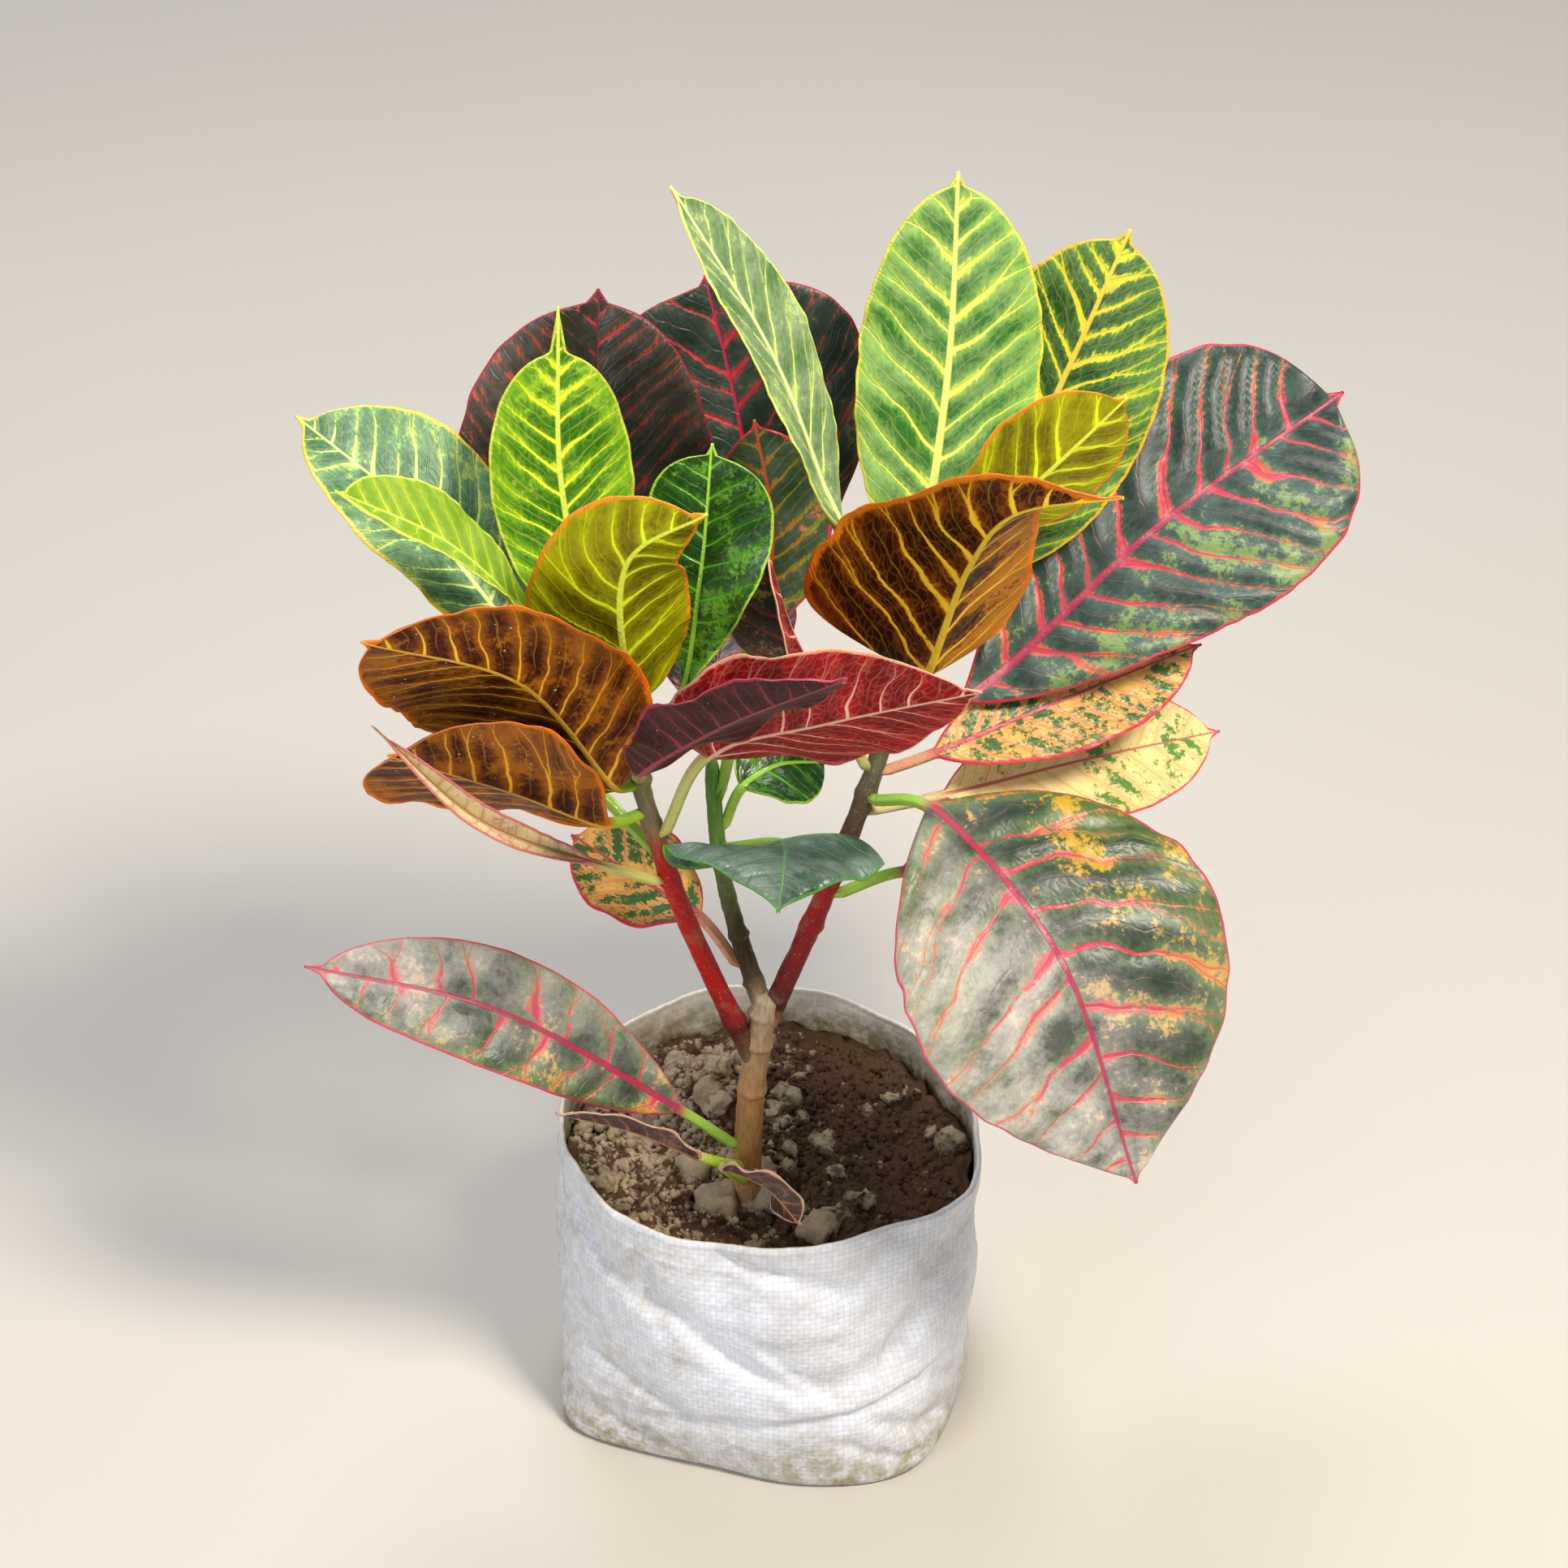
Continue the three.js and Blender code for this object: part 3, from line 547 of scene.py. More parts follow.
class Look(Enum):
    """The leaf looks seen on the plant."""

    LIME = LeafLook(
        slot="leaf_lime",
        upper=LeafSide(
            ("#306c06", "#74a80c"), "#f0f038", ("#d4e424", "#b4d410"), "#d8e858", "#c8d040", patch="#88b80c",
            vein_width=0.36, flare_width=0.9, ragged=1.6, rib_width=1.4, net=0.3, net_colour="#a0cc30",
            dust=0.015, roughness=0.34, outward=0.35,
        ),
        under=LIME_UNDER, spacing=9.0, lean=0.85,
    )
    LIME_PLAIN = LeafLook(
        slot="leaf_lime", upper=replace(LIME_UNDER, raised=1.0), under=LIME_UNDER, spacing=9.0, lean=0.85,
    )
    YELLOW_GREEN = LeafLook(
        slot="leaf_yellow_green",
        upper=LeafSide(
            ("#24701a", "#86b848"), "#f0f26c", ("#d8e854", "#b4d850"), "#ecf480", "#dcd43c", patch="#6a9c40",
            patches=0.15, ragged=1.9, between=0.15, rib_width=1.7, margin_width=0.9, net=0.35,
            net_colour="#a8cc50", roughness=0.34, outward=0.4, halo=0.4,
        ),
        under=OLIVE_UNDER, spacing=12.5, lean=0.85, pucker=0.8,
    )
    DEEP_YELLOW = LeafLook(
        slot="leaf_yellow_green",
        upper=LeafSide(
            ("#1a4a1a", "#4c8028"), "#f2d83c", ("#dcdc38", "#a4c030"), "#ecd04c", "#eab828", patch="#4f8020",
            patches=0.15, vein_width=0.55, flare_width=1.0, ragged=2.2, between=0.12, rib_width=1.6,
            margin_width=1.0, net=0.35, net_colour="#90ac30", dust=0.04, roughness=0.32, outward=0.3,
            halo=0.4,
        ),
        under=OLIVE_UNDER, spacing=10.5, lean=0.9, pucker=0.9,
    )
    GREY_GREEN = LeafLook(
        slot="leaf_grey_green",
        upper=LeafSide(
            ("#2c5c30", "#5c8c40"), "#d8e880", ("#9cc460", "#b8cc48"), "#dce48a", "#e8cc3c", patch="#b8cc20",
            patches=0.26, vein_width=0.4, flare_width=0.7, ragged=1.8, broken=0.4, between=0.1,
            rib_width=1.0, margin_width=1.2, net=0.25, net_colour="#a0bc68", dust=0.16,
            dust_colour="#a0bcac", roughness=0.36, outward=0.3,
        ),
        under=OLIVE_UNDER, spacing=9.0, lean=0.7,
    )
    GREY_NARROW = LeafLook(
        slot="leaf_grey_green",
        upper=LeafSide(
            ("#3a6c2c", "#749850"), "#e4f080", ("#c0dc58", "#98c440"), "#e4f4a0", "#dce86c", patch="#a4cc3c",
            patches=0.26, vein_width=0.4, ragged=2.0, broken=0.45, between=0.12, rib_width=1.6, net=0.2,
            net_colour="#88b048", dust=0.2, dust_colour="#ccd0b4", roughness=0.36,
        ),
        under=OLIVE_UNDER, spacing=15.0, lean=1.6,
    )
    GLOSSY_GREEN = LeafLook(
        slot="leaf_glossy_green",
        upper=LeafSide(
            ("#123c02", "#2c6404"), "#62a828", ("#348414", "#50981c"), "#a8dc48", "#a8cc34", patch="#5c9808",
            patches=0.34, vein_width=0.25, flare_width=0.4, rib_width=1.1, net=0.3, net_colour="#3c8018",
            dust=0.01, roughness=0.26, gloss=0.45,
        ),
        under=GREEN_UNDER, spacing=9.0, lean=0.6, pucker=1.0,
    )
    DUSTY_GREEN = LeafLook(
        slot="leaf_glossy_green",
        upper=LeafSide(
            ("#123a20", "#24502e"), "#46704a", ("#2c5a34", "#34603a"), "#5a8654", "#4c8a3a", patches=0.0,
            vein_width=0.25, flare_width=0.2, between=0.1, rib_width=0.9, dust=0.25, dust_colour="#8fa096",
            roughness=0.28, gloss=0.5,
        ),
        under=GREEN_UNDER, spacing=10.0, lean=0.5, pucker=1.0,
    )
    DARK_RED = LeafLook(
        slot="leaf_dark_red_veined",
        upper=LeafSide(
            ("#2a2a20", "#4e483a"), "#cc3440", ("#b03038", "#c8502c"), "#7c1c30", "#a02438", patch="#8a2c1e",
            patches=0.14, vein_width=0.26, flare_width=0.9, ragged=2.2, broken=0.5, between=0.1,
            rib_width=0.7, margin_width=0.7, dust_colour="#8c8884", roughness=0.34, gloss=0.4,
        ),
        under=MAROON_UNDER, spacing=9.0, lean=0.85, pucker=0.9,
    )
    DARK_VEINED = LeafLook(
        slot="leaf_dark_red_veined",
        upper=LeafSide(
            ("#1c2e20", "#444634"), "#c03440", ("#a82838", "#b85028"), "#b42844", "#a02438", patch="#74781e",
            patches=0.14, vein_width=0.4, flare_width=1.1, ragged=2.1, broken=0.45, between=0.1,
            rib_width=1.1, dust=0.07, dust_colour="#7f9396", roughness=0.34, gather=0.05,
        ),
        under=MAROON_UNDER, spacing=13.0, lean=0.8, pucker=1.1,
    )
    DARK_PATCHED = LeafLook(
        slot="leaf_dark_red_veined",
        upper=LeafSide(
            ("#0e241c", "#2a4c38"), "#bc2e48", ("#c43c48", "#dc7c34"), "#a01c40", "#cc2c48", patch="#6f8c18",
            patches=0.16, clear=0.6, vein_width=0.42, flare_width=0.9, ragged=1.7, broken=0.15, between=0.1,
            rib_width=1.7, margin_width=0.9, net=0.15, net_colour="#4c7440", dust=0.06,
            dust_colour="#9fb4b8", gloss=0.45, outward=0.2, halo=0.35, uneven=0.3, gather=0.1, raised=0.4,
        ),
        under=MAROON_UNDER, spacing=14.5, lean=0.6, rise=0.006, pucker=2.4,
    )
    # Its pale pinkish-white film over one half and towards the tip is mostly painted sheen, a gloss of light
    # put into the colour, over some real dust.
    DUSTY_SHEENED_RED = LeafLook(
        slot="leaf_dusty_red_veined",
        upper=LeafSide(
            ("#12301a", "#4e6a34"), "#c43850", ("#d8606a", "#d88840"), "#a41c44", "#cc3c54", patch="#c49a1c",
            clear=0.2, vein_width=0.42, flare_width=1.3, ragged=1.8, broken=0.4, between=0.1, rib_width=1.4,
            net=0.15, net_colour="#6c8040", dust=0.18, dust_colour="#e6dad8", roughness=0.38, gloss=0.5,
            outward=0.4, halo=0.4, uneven=0.38, tipward_sheen=0.7, gather=-0.03, raised=0.6,
        ),
        under=MAROON_UNDER, petiole=("#86b83c", "#a4c854"), spacing=17.0, lean=0.32, rise=0.005, pucker=2.4,
    )
    RED_EDGED = LeafLook(
        slot="leaf_dark_red_veined",
        upper=LeafSide(
            ("#14340e", "#24500f"), "#8c6a1c", ("#c85a20", "#7c9420"), "#a85028", "#c8283c", patch="#d0601e",
            patches=0.16, vein_width=0.3, margin_width=1.2, dust=0.05, roughness=0.32,
        ),
        under=MAROON_UNDER, spacing=9.0, lean=0.7,
    )
    CREAM_GREEN = LeafLook(
        slot="leaf_cream_spotted",
        upper=LeafSide(
            ("#e0ac54", "#de8c48"), "#dc9464", ("#dcb05c", "#dc9c54"), "#b84450", "#dc3850", patch="#245c0c",
            patches=0.52, clear=0.9, vein_width=0.3, flare_width=0.4, ragged=3.2, between=0.0, rib_width=1.0,
            margin_width=1.1, dust=0.02, roughness=0.38,
        ),
        under=underside(
            ("#c89a68", "#c88a68"), "#d8a088", ("#cc9470", "#cc9470"), "#c87a74", "#c84a58", flare_width=0.8,
            net=0.0, roughness=0.55,
        ),
        petiole=("#c8a06a", "#d8887a"), spacing=8.0, lean=0.8,
    )
    CREAM_PALE = LeafLook(
        slot="leaf_cream_spotted",
        upper=LeafSide(
            ("#ecd48c", "#e4be74"), "#e0c080", ("#e2c884", "#e2c480"), "#b8685a", "#e04a60", patch="#46801a",
            patches=0.32, clear=1.6, vein_width=0.25, flare_width=0.3, ragged=3.0, between=0.0,
            rib_width=0.7, dust=0.02, roughness=0.44,
        ),
        under=underside(
            ("#cca878", "#cc9c70"), "#d8b090", ("#cca078", "#cca078"), "#c88a7a", "#c85a60", flare_width=0.8,
            net=0.0, roughness=0.55,
        ),
        petiole=("#a4c060", "#d8a08a"), spacing=10.0, lean=0.75,
    )
    BROWN_GOLD = LeafLook(
        slot="leaf_brown_gold",
        upper=BRONZE_UPPER,
        under=underside(
            ("#3c0e02", "#985408"), "#f4bc30", ("#d08410", "#d8780c"), "#e4b43c", "#e0700e", patch="#a4600c",
            patches=0.3, vein_width=0.3, ragged=1.2, rib_width=1.1, margin_width=1.9, net=0.2,
            net_colour="#b4701c", dust=0, specks=0.9, gloss=0.12, outward=0.3, halo=0.35,
        ),
        petiole=("#8cb82c", "#a8cc3c"), spacing=13.0, lean=0.75,
    )
    GOLD_NET = LeafLook(
        slot="leaf_brown_gold",
        upper=BRONZE_UPPER,
        under=underside(
            ("#320c02", "#8c3e06"), "#ffd42c", ("#f0b41c", "#e08c10"), "#f0cc38", "#e07a12", patch="#b47014",
            patches=0.27, clear=0.2, vein_width=0.55, flare_width=0.5, ragged=1.1, between=0.15,
            rib_width=1.6, margin_width=2.6, net_colour="#d09420", dust=0, specks=0.5, gloss=0.12,
            outward=0.45, halo=0.25, uneven=-0.9, gather=-0.2,
        ),
        petiole=("#8cb82c", "#a8cc3c"), spacing=15.0, lean=0.75,
    )
    OLIVE_GOLD = LeafLook(
        slot="leaf_olive_gold",
        upper=LeafSide(
            ("#3c7418", "#5c9424"), "#d8e05a", ("#b8cc3c", "#9cbc30"), "#d8dc6a", "#e0a03a", patch="#94b42c",
            dust=0.06,
        ),
        under=underside(
            ("#6a6202", "#a8a206"), "#e0ee20", ("#c0cc10", "#b8bc0c"), "#dce848", "#e08a1c", patch="#8c8c08",
            patches=0.3, vein_width=0.45, flare_width=0.4, ragged=1.1, between=0.15, rib_width=1.5,
            margin_width=1.3, net_colour="#b0b42a", dust=0, roughness=0.44, gloss=0.12, outward=0.3,
        ),
        spacing=12.0, lean=0.75,
    )
    CRIMSON = LeafLook(
        slot="leaf_crimson",
        upper=LeafSide(
            ("#3c1420", "#54202a"), "#b84a54", ("#9a2a3a", "#aa3a44"), "#c86a74", "#d8a888", patch="#c8c040",
            patches=0.35,
        ),
        under=underside(
            ("#780206", "#b4060e"), "#f4c0a4", ("#a82038", "#b03040"), "#e8b498", "#e09c7c", vein_width=0.26,
            ragged=1.0, between=0.15, rib_width=1.0, margin_width=0.9, net_colour="#e49a84", dust=0,
            specks=0.3, roughness=0.46, gloss=0.14, outward=0.2,
        ),
        petiole=("#b4c060", "#d0c080"), spacing=13.5, lean=0.75,
    )
    MAROON = LeafLook(
        slot="leaf_crimson",
        # The grey upper side under its heavy film is partly the leaf's own colour and partly painted sheen.
        upper=LeafSide(
            ("#4c4c50", "#646468"), "#84646c", ("#6c5c64", "#74666c"), "#94505c", "#a84050", patches=0.0,
            flare_width=0.3, dust=0.35, dust_colour="#8c8c8e",
        ),
        under=underside(
            ("#2a040c", "#480a14"), "#84303e", ("#601420", "#681a28"), "#a04050", "#a02c40", vein_width=0.3,
            net=0.14, net_colour="#7c303c", dust=0, specks=0.5, roughness=0.38, gloss=0.14,
        ),
        petiole=("#8aa83c", "#a87858"), spacing=10.0, lean=0.7,
    )
    WITHERED = LeafLook(
        slot="leaf_brown_gold",
        upper=LeafSide(
            ("#3a1c12", "#5c3220"), "#8c5c44", ("#6c4430", "#744a34"), "#a07a58", "#c8a088", patch="#8a6a50",
            patches=0.3, flare_width=0.4, margin_width=1.2, dust=0.12, roughness=0.6, gloss=0.2,
        ),
        under=underside(
            ("#30120a", "#502416"), "#8c5842", ("#643828", "#6c3e2c"), "#a07454", "#c89c84", patch="#7c543e",
            patches=0.25, vein_width=0.3, flare_width=0.4, margin_width=1.0, net_colour="#7c4c36",
            roughness=0.6, gloss=0.2,
        ),
        petiole=("#a8c83c", "#b8d04a"), spacing=7.0, lean=0.7, pucker=1.0,
    )
    DRY_CREAM = LeafLook(
        slot="leaf_dry_cream",
        upper=LeafSide(
            ("#e8d8a8", "#d8bc90"), "#d0ac80", ("#dcc49c", "#d0ac84"), "#c0a078", "#d07878", patch="#c8848a",
            patches=0.22, vein_width=0.25, flare_width=0.3, margin_width=1.0, dust=0.05, roughness=0.65,
            gloss=0.25,
        ),
        under=underside(
            ("#ecdfb4", "#dcc29a"), "#d0b48a", ("#dcc8a0", "#d0b088"), "#c4a880", "#d08484", patch="#cc9088",
            patches=0.2, vein_width=0.25, net=0.0, roughness=0.65,
        ),
        petiole=("#b8c060", "#d0c078"), spacing=9.0, lean=0.8, pucker=0.4,
    )


@dataclass(frozen=True)
class Measures:
    """Where a point lies on its blade, in millimetres, and the noises that follow the blade."""

    along: Mark  # from the blade's foot
    own: Mark  # a number of the leaf's own
    count: Mark  # whole on each lateral vein
    inset: Mark  # in from the margin
    share: Mark  # share of the blade's length
    out: Mark  # from the rib, on either half
    reach_out: Mark  # the same as a share of the half's width there
    half: Mark  # from minus one on the left half to one on the right
    drift: Mark
    wander: Mark
    edge: Mark
    film: Mark
    splash: Mark


@dataclass(frozen=True)
class Veins:
    """Masks of the lateral veins and of the colour that runs out of them."""

    kept: Mark  # where the veins don't fade into the ground
    band: Mark  # the veins, with the faded ones
    vein: Mark
    reach: Mark  # millimetres from a vein's side, ragged
    flare: Mark


@dataclass(frozen=True)
class LeafSurface:
    """The waxy skin of one side of a croton blade: coloured veins on a ground, under a thin film of dust and,
    on some leaves, painted sheen.

    Its pattern reads two attributes. `blade` holds millimetres across, millimetres along and a number of the
    leaf's own. `veining` is whole on each lateral vein and then holds millimetres in from the margin and the
    share of the blade's length.
    """

    name: str
    side: LeafSide
    look: LeafLook

    def material(self) -> Material:
        """Build the material from the blade's own attributes.

        Returns:
            The material, with its layers of colour, its relief and its gloss.
        """
        material, put = new_material(self.name)
        side, look = self.side, self.look
        on = self._measure(put)
        veins = self._veins(put, on)
        thin_line, thin = self._thin_veins(put, on, veins)
        rib, margin = self._rib_and_margin(put, on)
        cells, thread = self._net(put, on, veins)
        dusted = self._dust(put, on)
        # A thinner share of the same film of dust and painted sheen lies over the veins and rib.
        thin_dust_and_sheen = put(MATH, {0: dusted, 1: 0.25}, **TIMES)
        size = put(MATH, {0: on.splash.outputs["Color"], 1: 0.14 * side.specks}, **TIMES)
        speck = put(MATH, {0: on.splash, 1: size}, operation="LESS_THAN")
        outer = put(MATH, {0: on.wander, 1: 1.6, 2: on.reach_out}, **TIMES_PLUS)
        turning = put(RANGE, {"Value": outer, "From Min": 1.0, "From Max": 1.6})
        flared = put(MIX, {0: turning, 6: linear(side.flare[0]), 7: linear(side.flare[1])}, **RGBA)
        petiole = put(RANGE, {"Value": on.along, "From Min": 3.5, "From Max": -4.0}, **SOFT)
        stalk = put(MIX, {0: on.wander, 6: linear(look.petiole[0]), 7: linear(look.petiole[1])}, **RGBA)
        layers = (
            (self._patches(put, on, veins), linear(side.patch)),
            (thread, linear(side.net_colour)),
            (thin, linear(side.vein)),
            # The film of dust and painted sheen, and below it once more, thinner, over the veins and rib.
            (dusted, linear(side.dust_colour)),
            (veins.flare, flared),
            (veins.vein, linear(side.vein)),
            (margin, linear(side.margin)),
            (rib, linear(side.rib)),
            (thin_dust_and_sheen, linear(side.dust_colour)),
            (speck, linear("#cfc4b0")),
            (petiole, stalk),
        )
        colour = self._ground(put, on, veins)
        for mask, over in layers:
            colour = put(MIX, {0: mask, 6: colour, 7: over}, **RGBA)

        # The veins lie in on the upper side and stand out below, and the cells of the net swell between them.
        sunk = put(MATH, {0: veins.band, 1: rib}, operation="MAXIMUM")
        cushion = put(RANGE, {"Value": cells, "From Min": 0.0, "From Max": 0.3, "To Max": 0.3})
        height = put(MATH, {0: on.edge, 1: 0.15}, **TIMES)
        for mark, weight in ((sunk, -0.9), (thin_line, -0.4), (cushion, 1.0)):
            height = put(MATH, {0: mark, 1: weight * side.raised, 2: height}, **TIMES_PLUS)
        bump = put(BUMP, {"Strength": 0.55, "Distance": 0.0006, "Height": height})
        matt = put(RANGE, {"Value": dusted, "To Min": side.roughness,
                           "To Max": min(side.roughness + 0.35, 1)})
        close(put, colour, matt, bump, side.gloss)
        return material

    @staticmethod
    def _measure(put: Put) -> Measures:
        """Read the blade's attributes and lay noises of four sizes over them."""
        blade = put(ATTRIBUTE, attribute_name="blade").outputs["Vector"]
        veining = put(ATTRIBUTE, attribute_name="veining").outputs["Vector"]
        across, along, own = put(SPLIT, {0: blade}).outputs
        count, inset, share = put(SPLIT, {0: veining}).outputs
        out = put(MATH, {0: across}, operation="ABSOLUTE")
        whole = put(MATH, {0: out, 1: inset}, operation="ADD")
        reach_out = put(MATH, {0: out, 1: whole}, operation="DIVIDE")
        half = put(RANGE, {"Value": across, "From Min": -24.0, "From Max": 24.0, "To Min": -1.0,
                           "To Max": 1.0})
        # Each row is for one noise: its size in millimetres, its detail and its roughness.
        noises = ((18, 2.0, 0.5), (9, 2.0, 0.5), (2.2, 4.0, 0.7), (6, 5.0, 0.7))
        drift, wander, edge, film = (
            put(NOISE, {"Vector": blade, "Scale": 1 / size, "Detail": detail, "Roughness": rough})
            for size, detail, rough in noises
        )
        splash = put(CELLS, {"Vector": blade, "Scale": 1 / 4.5}, feature="F1")
        return Measures(along, own, count, inset, share, out, reach_out, half, drift, wander, edge, film,
                        splash)

    def _veins(self, put: Put, on: Measures) -> Veins:
        """Draw the lateral veins, their forks and the colour that runs out of them."""
        side, spacing = self.side, self.look.spacing
        # The fringe of a flare is drawn out across the vein, along the smallest veinlets.
        over_vein = put(MATH, {0: on.count, 1: spacing / 4.5}, **TIMES)
        along_vein = put(MATH, {0: on.out, 1: 1 / 1.3}, **TIMES)
        combed = put(JOIN, {0: over_vein, 1: along_vein, 2: on.own})
        fringe = put(NOISE, {"Vector": combed, "Scale": 1.0, "Detail": 3.0, "Roughness": 0.6})

        # Each lateral vein has its own strength, and forks at a place and an angle of its own.
        nearest = put(MATH, {0: on.count}, operation="ROUND")
        which = put(JOIN, {0: nearest, 1: on.own})
        chance = put("ShaderNodeTexWhiteNoise", {"Vector": which}, noise_dimensions="3D")
        luck, fork_luck, angle_luck = put(SPLIT, {0: chance.outputs["Color"]}).outputs
        signed = put(MATH, {0: on.count, 1: nearest}, operation="SUBTRACT")
        off = put(MATH, {0: signed}, operation="ABSOLUTE")
        fork = put(RANGE, {"Value": fork_luck, "To Min": 0.38, "To Max": 0.9})
        past = put(MATH, {0: on.reach_out, 1: fork}, operation="SUBTRACT")
        parting = put(RANGE, {"Value": angle_luck, "To Min": 0.25, "To Max": 0.7})
        parted = put(MATH, {0: past, 1: parting}, **TIMES)
        split = put(MATH, {0: parted, 1: 0.0}, operation="MAXIMUM")
        beside = put(MATH, {0: off, 1: split}, operation="SUBTRACT")
        apart = put(MATH, {0: beside}, operation="ABSOLUTE")
        away = put(MATH, {0: apart, 1: spacing * 0.86}, **TIMES)

        # Veins and flares thin out towards the margin, and fade where the ground wins.
        vigour = put(MATH, {0: luck, 1: 0.8, 2: 0.6}, **TIMES_PLUS)
        inward = put(MATH, {0: 1.0, 1: on.reach_out}, operation="SUBTRACT")
        steep = put(MATH, {0: inward, 1: 1.5}, operation="POWER")
        taper = put(MATH, {0: steep, 1: 1.5, 2: 0.35}, **TIMES_PLUS)
        strength = put(MATH, {0: vigour, 1: taper}, **TIMES)
        faded = 0.28 + 0.36 * side.broken
        kept = put(RANGE, {"Value": on.film, "From Min": faded - 0.05, "From Max": faded + 0.07}, **SOFT)
        half_vein = put(MATH, {0: strength, 1: side.vein_width}, **TIMES)
        past_vein = put(MATH, {0: away, 1: half_vein}, operation="SUBTRACT")
        blur = 0.12 + 0.3 * side.vein_width
        band = put(RANGE, {"Value": past_vein, "From Min": blur, "From Max": -blur * 0.7}, **SOFT)
        bright = put(RANGE, {"Value": on.reach_out, "From Min": 0.3, "To Min": 1.0, "To Max": 0.5})
        lasting = put(MATH, {0: kept, 1: bright}, **TIMES)
        vein = put(MATH, {0: band, 1: lasting}, **TIMES)
        drifting = put(RANGE, {"Value": on.drift, "From Min": 0.36, "From Max": 0.68, "To Min": -0.5,
                               "To Max": side.flare_width})
        swell = put(MATH, {0: drifting, 1: strength}, **TIMES)
        roam = put(MATH, {0: fringe, 1: -2.6 * side.ragged, 2: 1.3 * side.ragged}, **TIMES_PLUS)
        reach = put(MATH, {0: past_vein, 1: roam}, operation="ADD")
        beyond = put(MATH, {0: reach, 1: swell}, operation="SUBTRACT")
        washed = put(RANGE, {"Value": beyond, "From Min": 0.3, "From Max": -0.3}, **SOFT)
        flare = put(MATH, {0: washed, 1: kept}, **TIMES)
        return Veins(kept, band, vein, reach, flare)

    def _thin_veins(self, put: Put, on: Measures, veins: Veins) -> tuple[Mark, Mark]:
        """Draw the thin veins half way between two laterals: their line, and their mask, which dies away."""
        spacing = self.look.spacing
        halfway = put(MATH, {0: on.wander, 1: 0.3, 2: on.count}, **TIMES_PLUS)
        other = put(MATH, {0: halfway, 1: 0.35}, operation="ADD")
        swing = put(MATH, {0: other, 1: 0.5}, operation="PINGPONG")
        line = put(RANGE, {"Value": swing, "From Min": 0.5 / spacing, "From Max": 0.12 / spacing}, **SOFT)
        middle = put(MATH, {0: on.reach_out, 1: 0.5}, operation="PINGPONG")
        fading = put(RANGE, {"Value": middle, "From Min": 0.05, "From Max": 0.3, "To Max": self.side.between})
        dying = put(MATH, {0: fading, 1: veins.kept}, **TIMES)
        return line, put(MATH, {0: line, 1: dying}, **TIMES)

    def _patches(self, put: Put, on: Measures, veins: Veins) -> Mark:
        """Fill the room between two veins with patches, of which some stop short of them."""
        side = self.side
        spread = put(MATH, {0: on.half, 1: side.gather}, **TIMES)
        for mark, weight in ((on.edge, 0.5), (on.film, 0.35), (on.drift, 0.6)):
            spread = put(MATH, {0: mark, 1: weight, 2: spread}, **TIMES_PLUS)
        level = 0.93 - 0.42 * side.patches
        spotted = put(RANGE, {"Value": spread, "From Min": level - 0.04, "From Max": level + 0.05,
                              "To Max": 1.0 if side.patches else 0.0}, **SOFT)
        room = put(RANGE, {"Value": veins.reach, "From Min": side.clear * 0.6 - 0.01, "From Max": side.clear},
                   **SOFT)
        return put(MATH, {0: spotted, 1: room}, **TIMES)

    def _rib_and_margin(self, put: Put, on: Measures) -> tuple[Mark, Mark]:
        """Draw the rib, which narrows from foot to tip, and the band along the margin."""
        wide, hem_width = self.side.rib_width, self.side.margin_width
        narrowing = put(MATH, {0: on.share, 1: -0.62 * wide, 2: wide}, **TIMES_PLUS)
        from_rib = put(MATH, {0: on.out, 1: narrowing}, operation="SUBTRACT")
        rib = put(RANGE, {"Value": from_rib, "From Min": 0.25, "From Max": -0.3}, **SOFT)
        hem = put(MATH, {0: on.edge, 1: -1.9 * hem_width, 2: on.inset}, **TIMES_PLUS)
        return rib, put(RANGE, {"Value": hem, "From Min": hem_width * 0.4, "From Max": -hem_width * 0.3},
                        **SOFT)

    def _net(self, put: Put, on: Measures, veins: Veins) -> tuple[Mark, Mark]:
        """Draw the fine net of veinlets along the laterals: its cells, and its mask, clearest beside them."""
        spacing, net = self.look.spacing, self.side.net
        stepped = put(MATH, {0: on.count, 1: spacing / 3.2}, **TIMES)
        outward = put(MATH, {0: on.out, 1: 1 / 3.0}, **TIMES)
        mesh = put(JOIN, {0: stepped, 1: outward, 2: on.own})
        cells = put(CELLS, {"Vector": mesh, "Scale": 1.0}, feature="DISTANCE_TO_EDGE")
        clearest = put(RANGE, {"Value": veins.reach, "From Min": spacing * 0.4, "From Max": 0.0,
                               "To Min": net * 0.3, "To Max": net})
        strand = put(RANGE, {"Value": cells, "From Min": 0.11, "From Max": 0.02})
        return cells, put(MATH, {0: strand, 1: clearest}, **TIMES)

    def _dust(self, put: Put, on: Measures) -> Mark:
        """Lay a patchy film of dust and painted sheen, heavier on one half or near the tip."""
        side = self.side
        cloudy = on.drift
        for mark, weight in ((on.film, 0.3), (on.edge, 0.5)):
            cloudy = put(MATH, {0: mark, 1: weight, 2: cloudy}, **TIMES_PLUS)
        patchy = put(RANGE, {"Value": cloudy, "From Min": 0.7, "From Max": 1.1, "To Min": 0.25,
                             "To Max": 1.75})
        film_weight = 1.0 - side.tipward_sheen
        for mark, weight in ((on.half, side.uneven), (on.share, side.tipward_sheen)):
            film_weight = put(MATH, {0: mark, 1: 2.0 * weight, 2: film_weight}, **TIMES_PLUS)
        cover = put(MATH, {0: film_weight, 1: patchy}, **TIMES)
        return put(MATH, {0: cover, 1: side.dust}, operation="MULTIPLY", use_clamp=True)

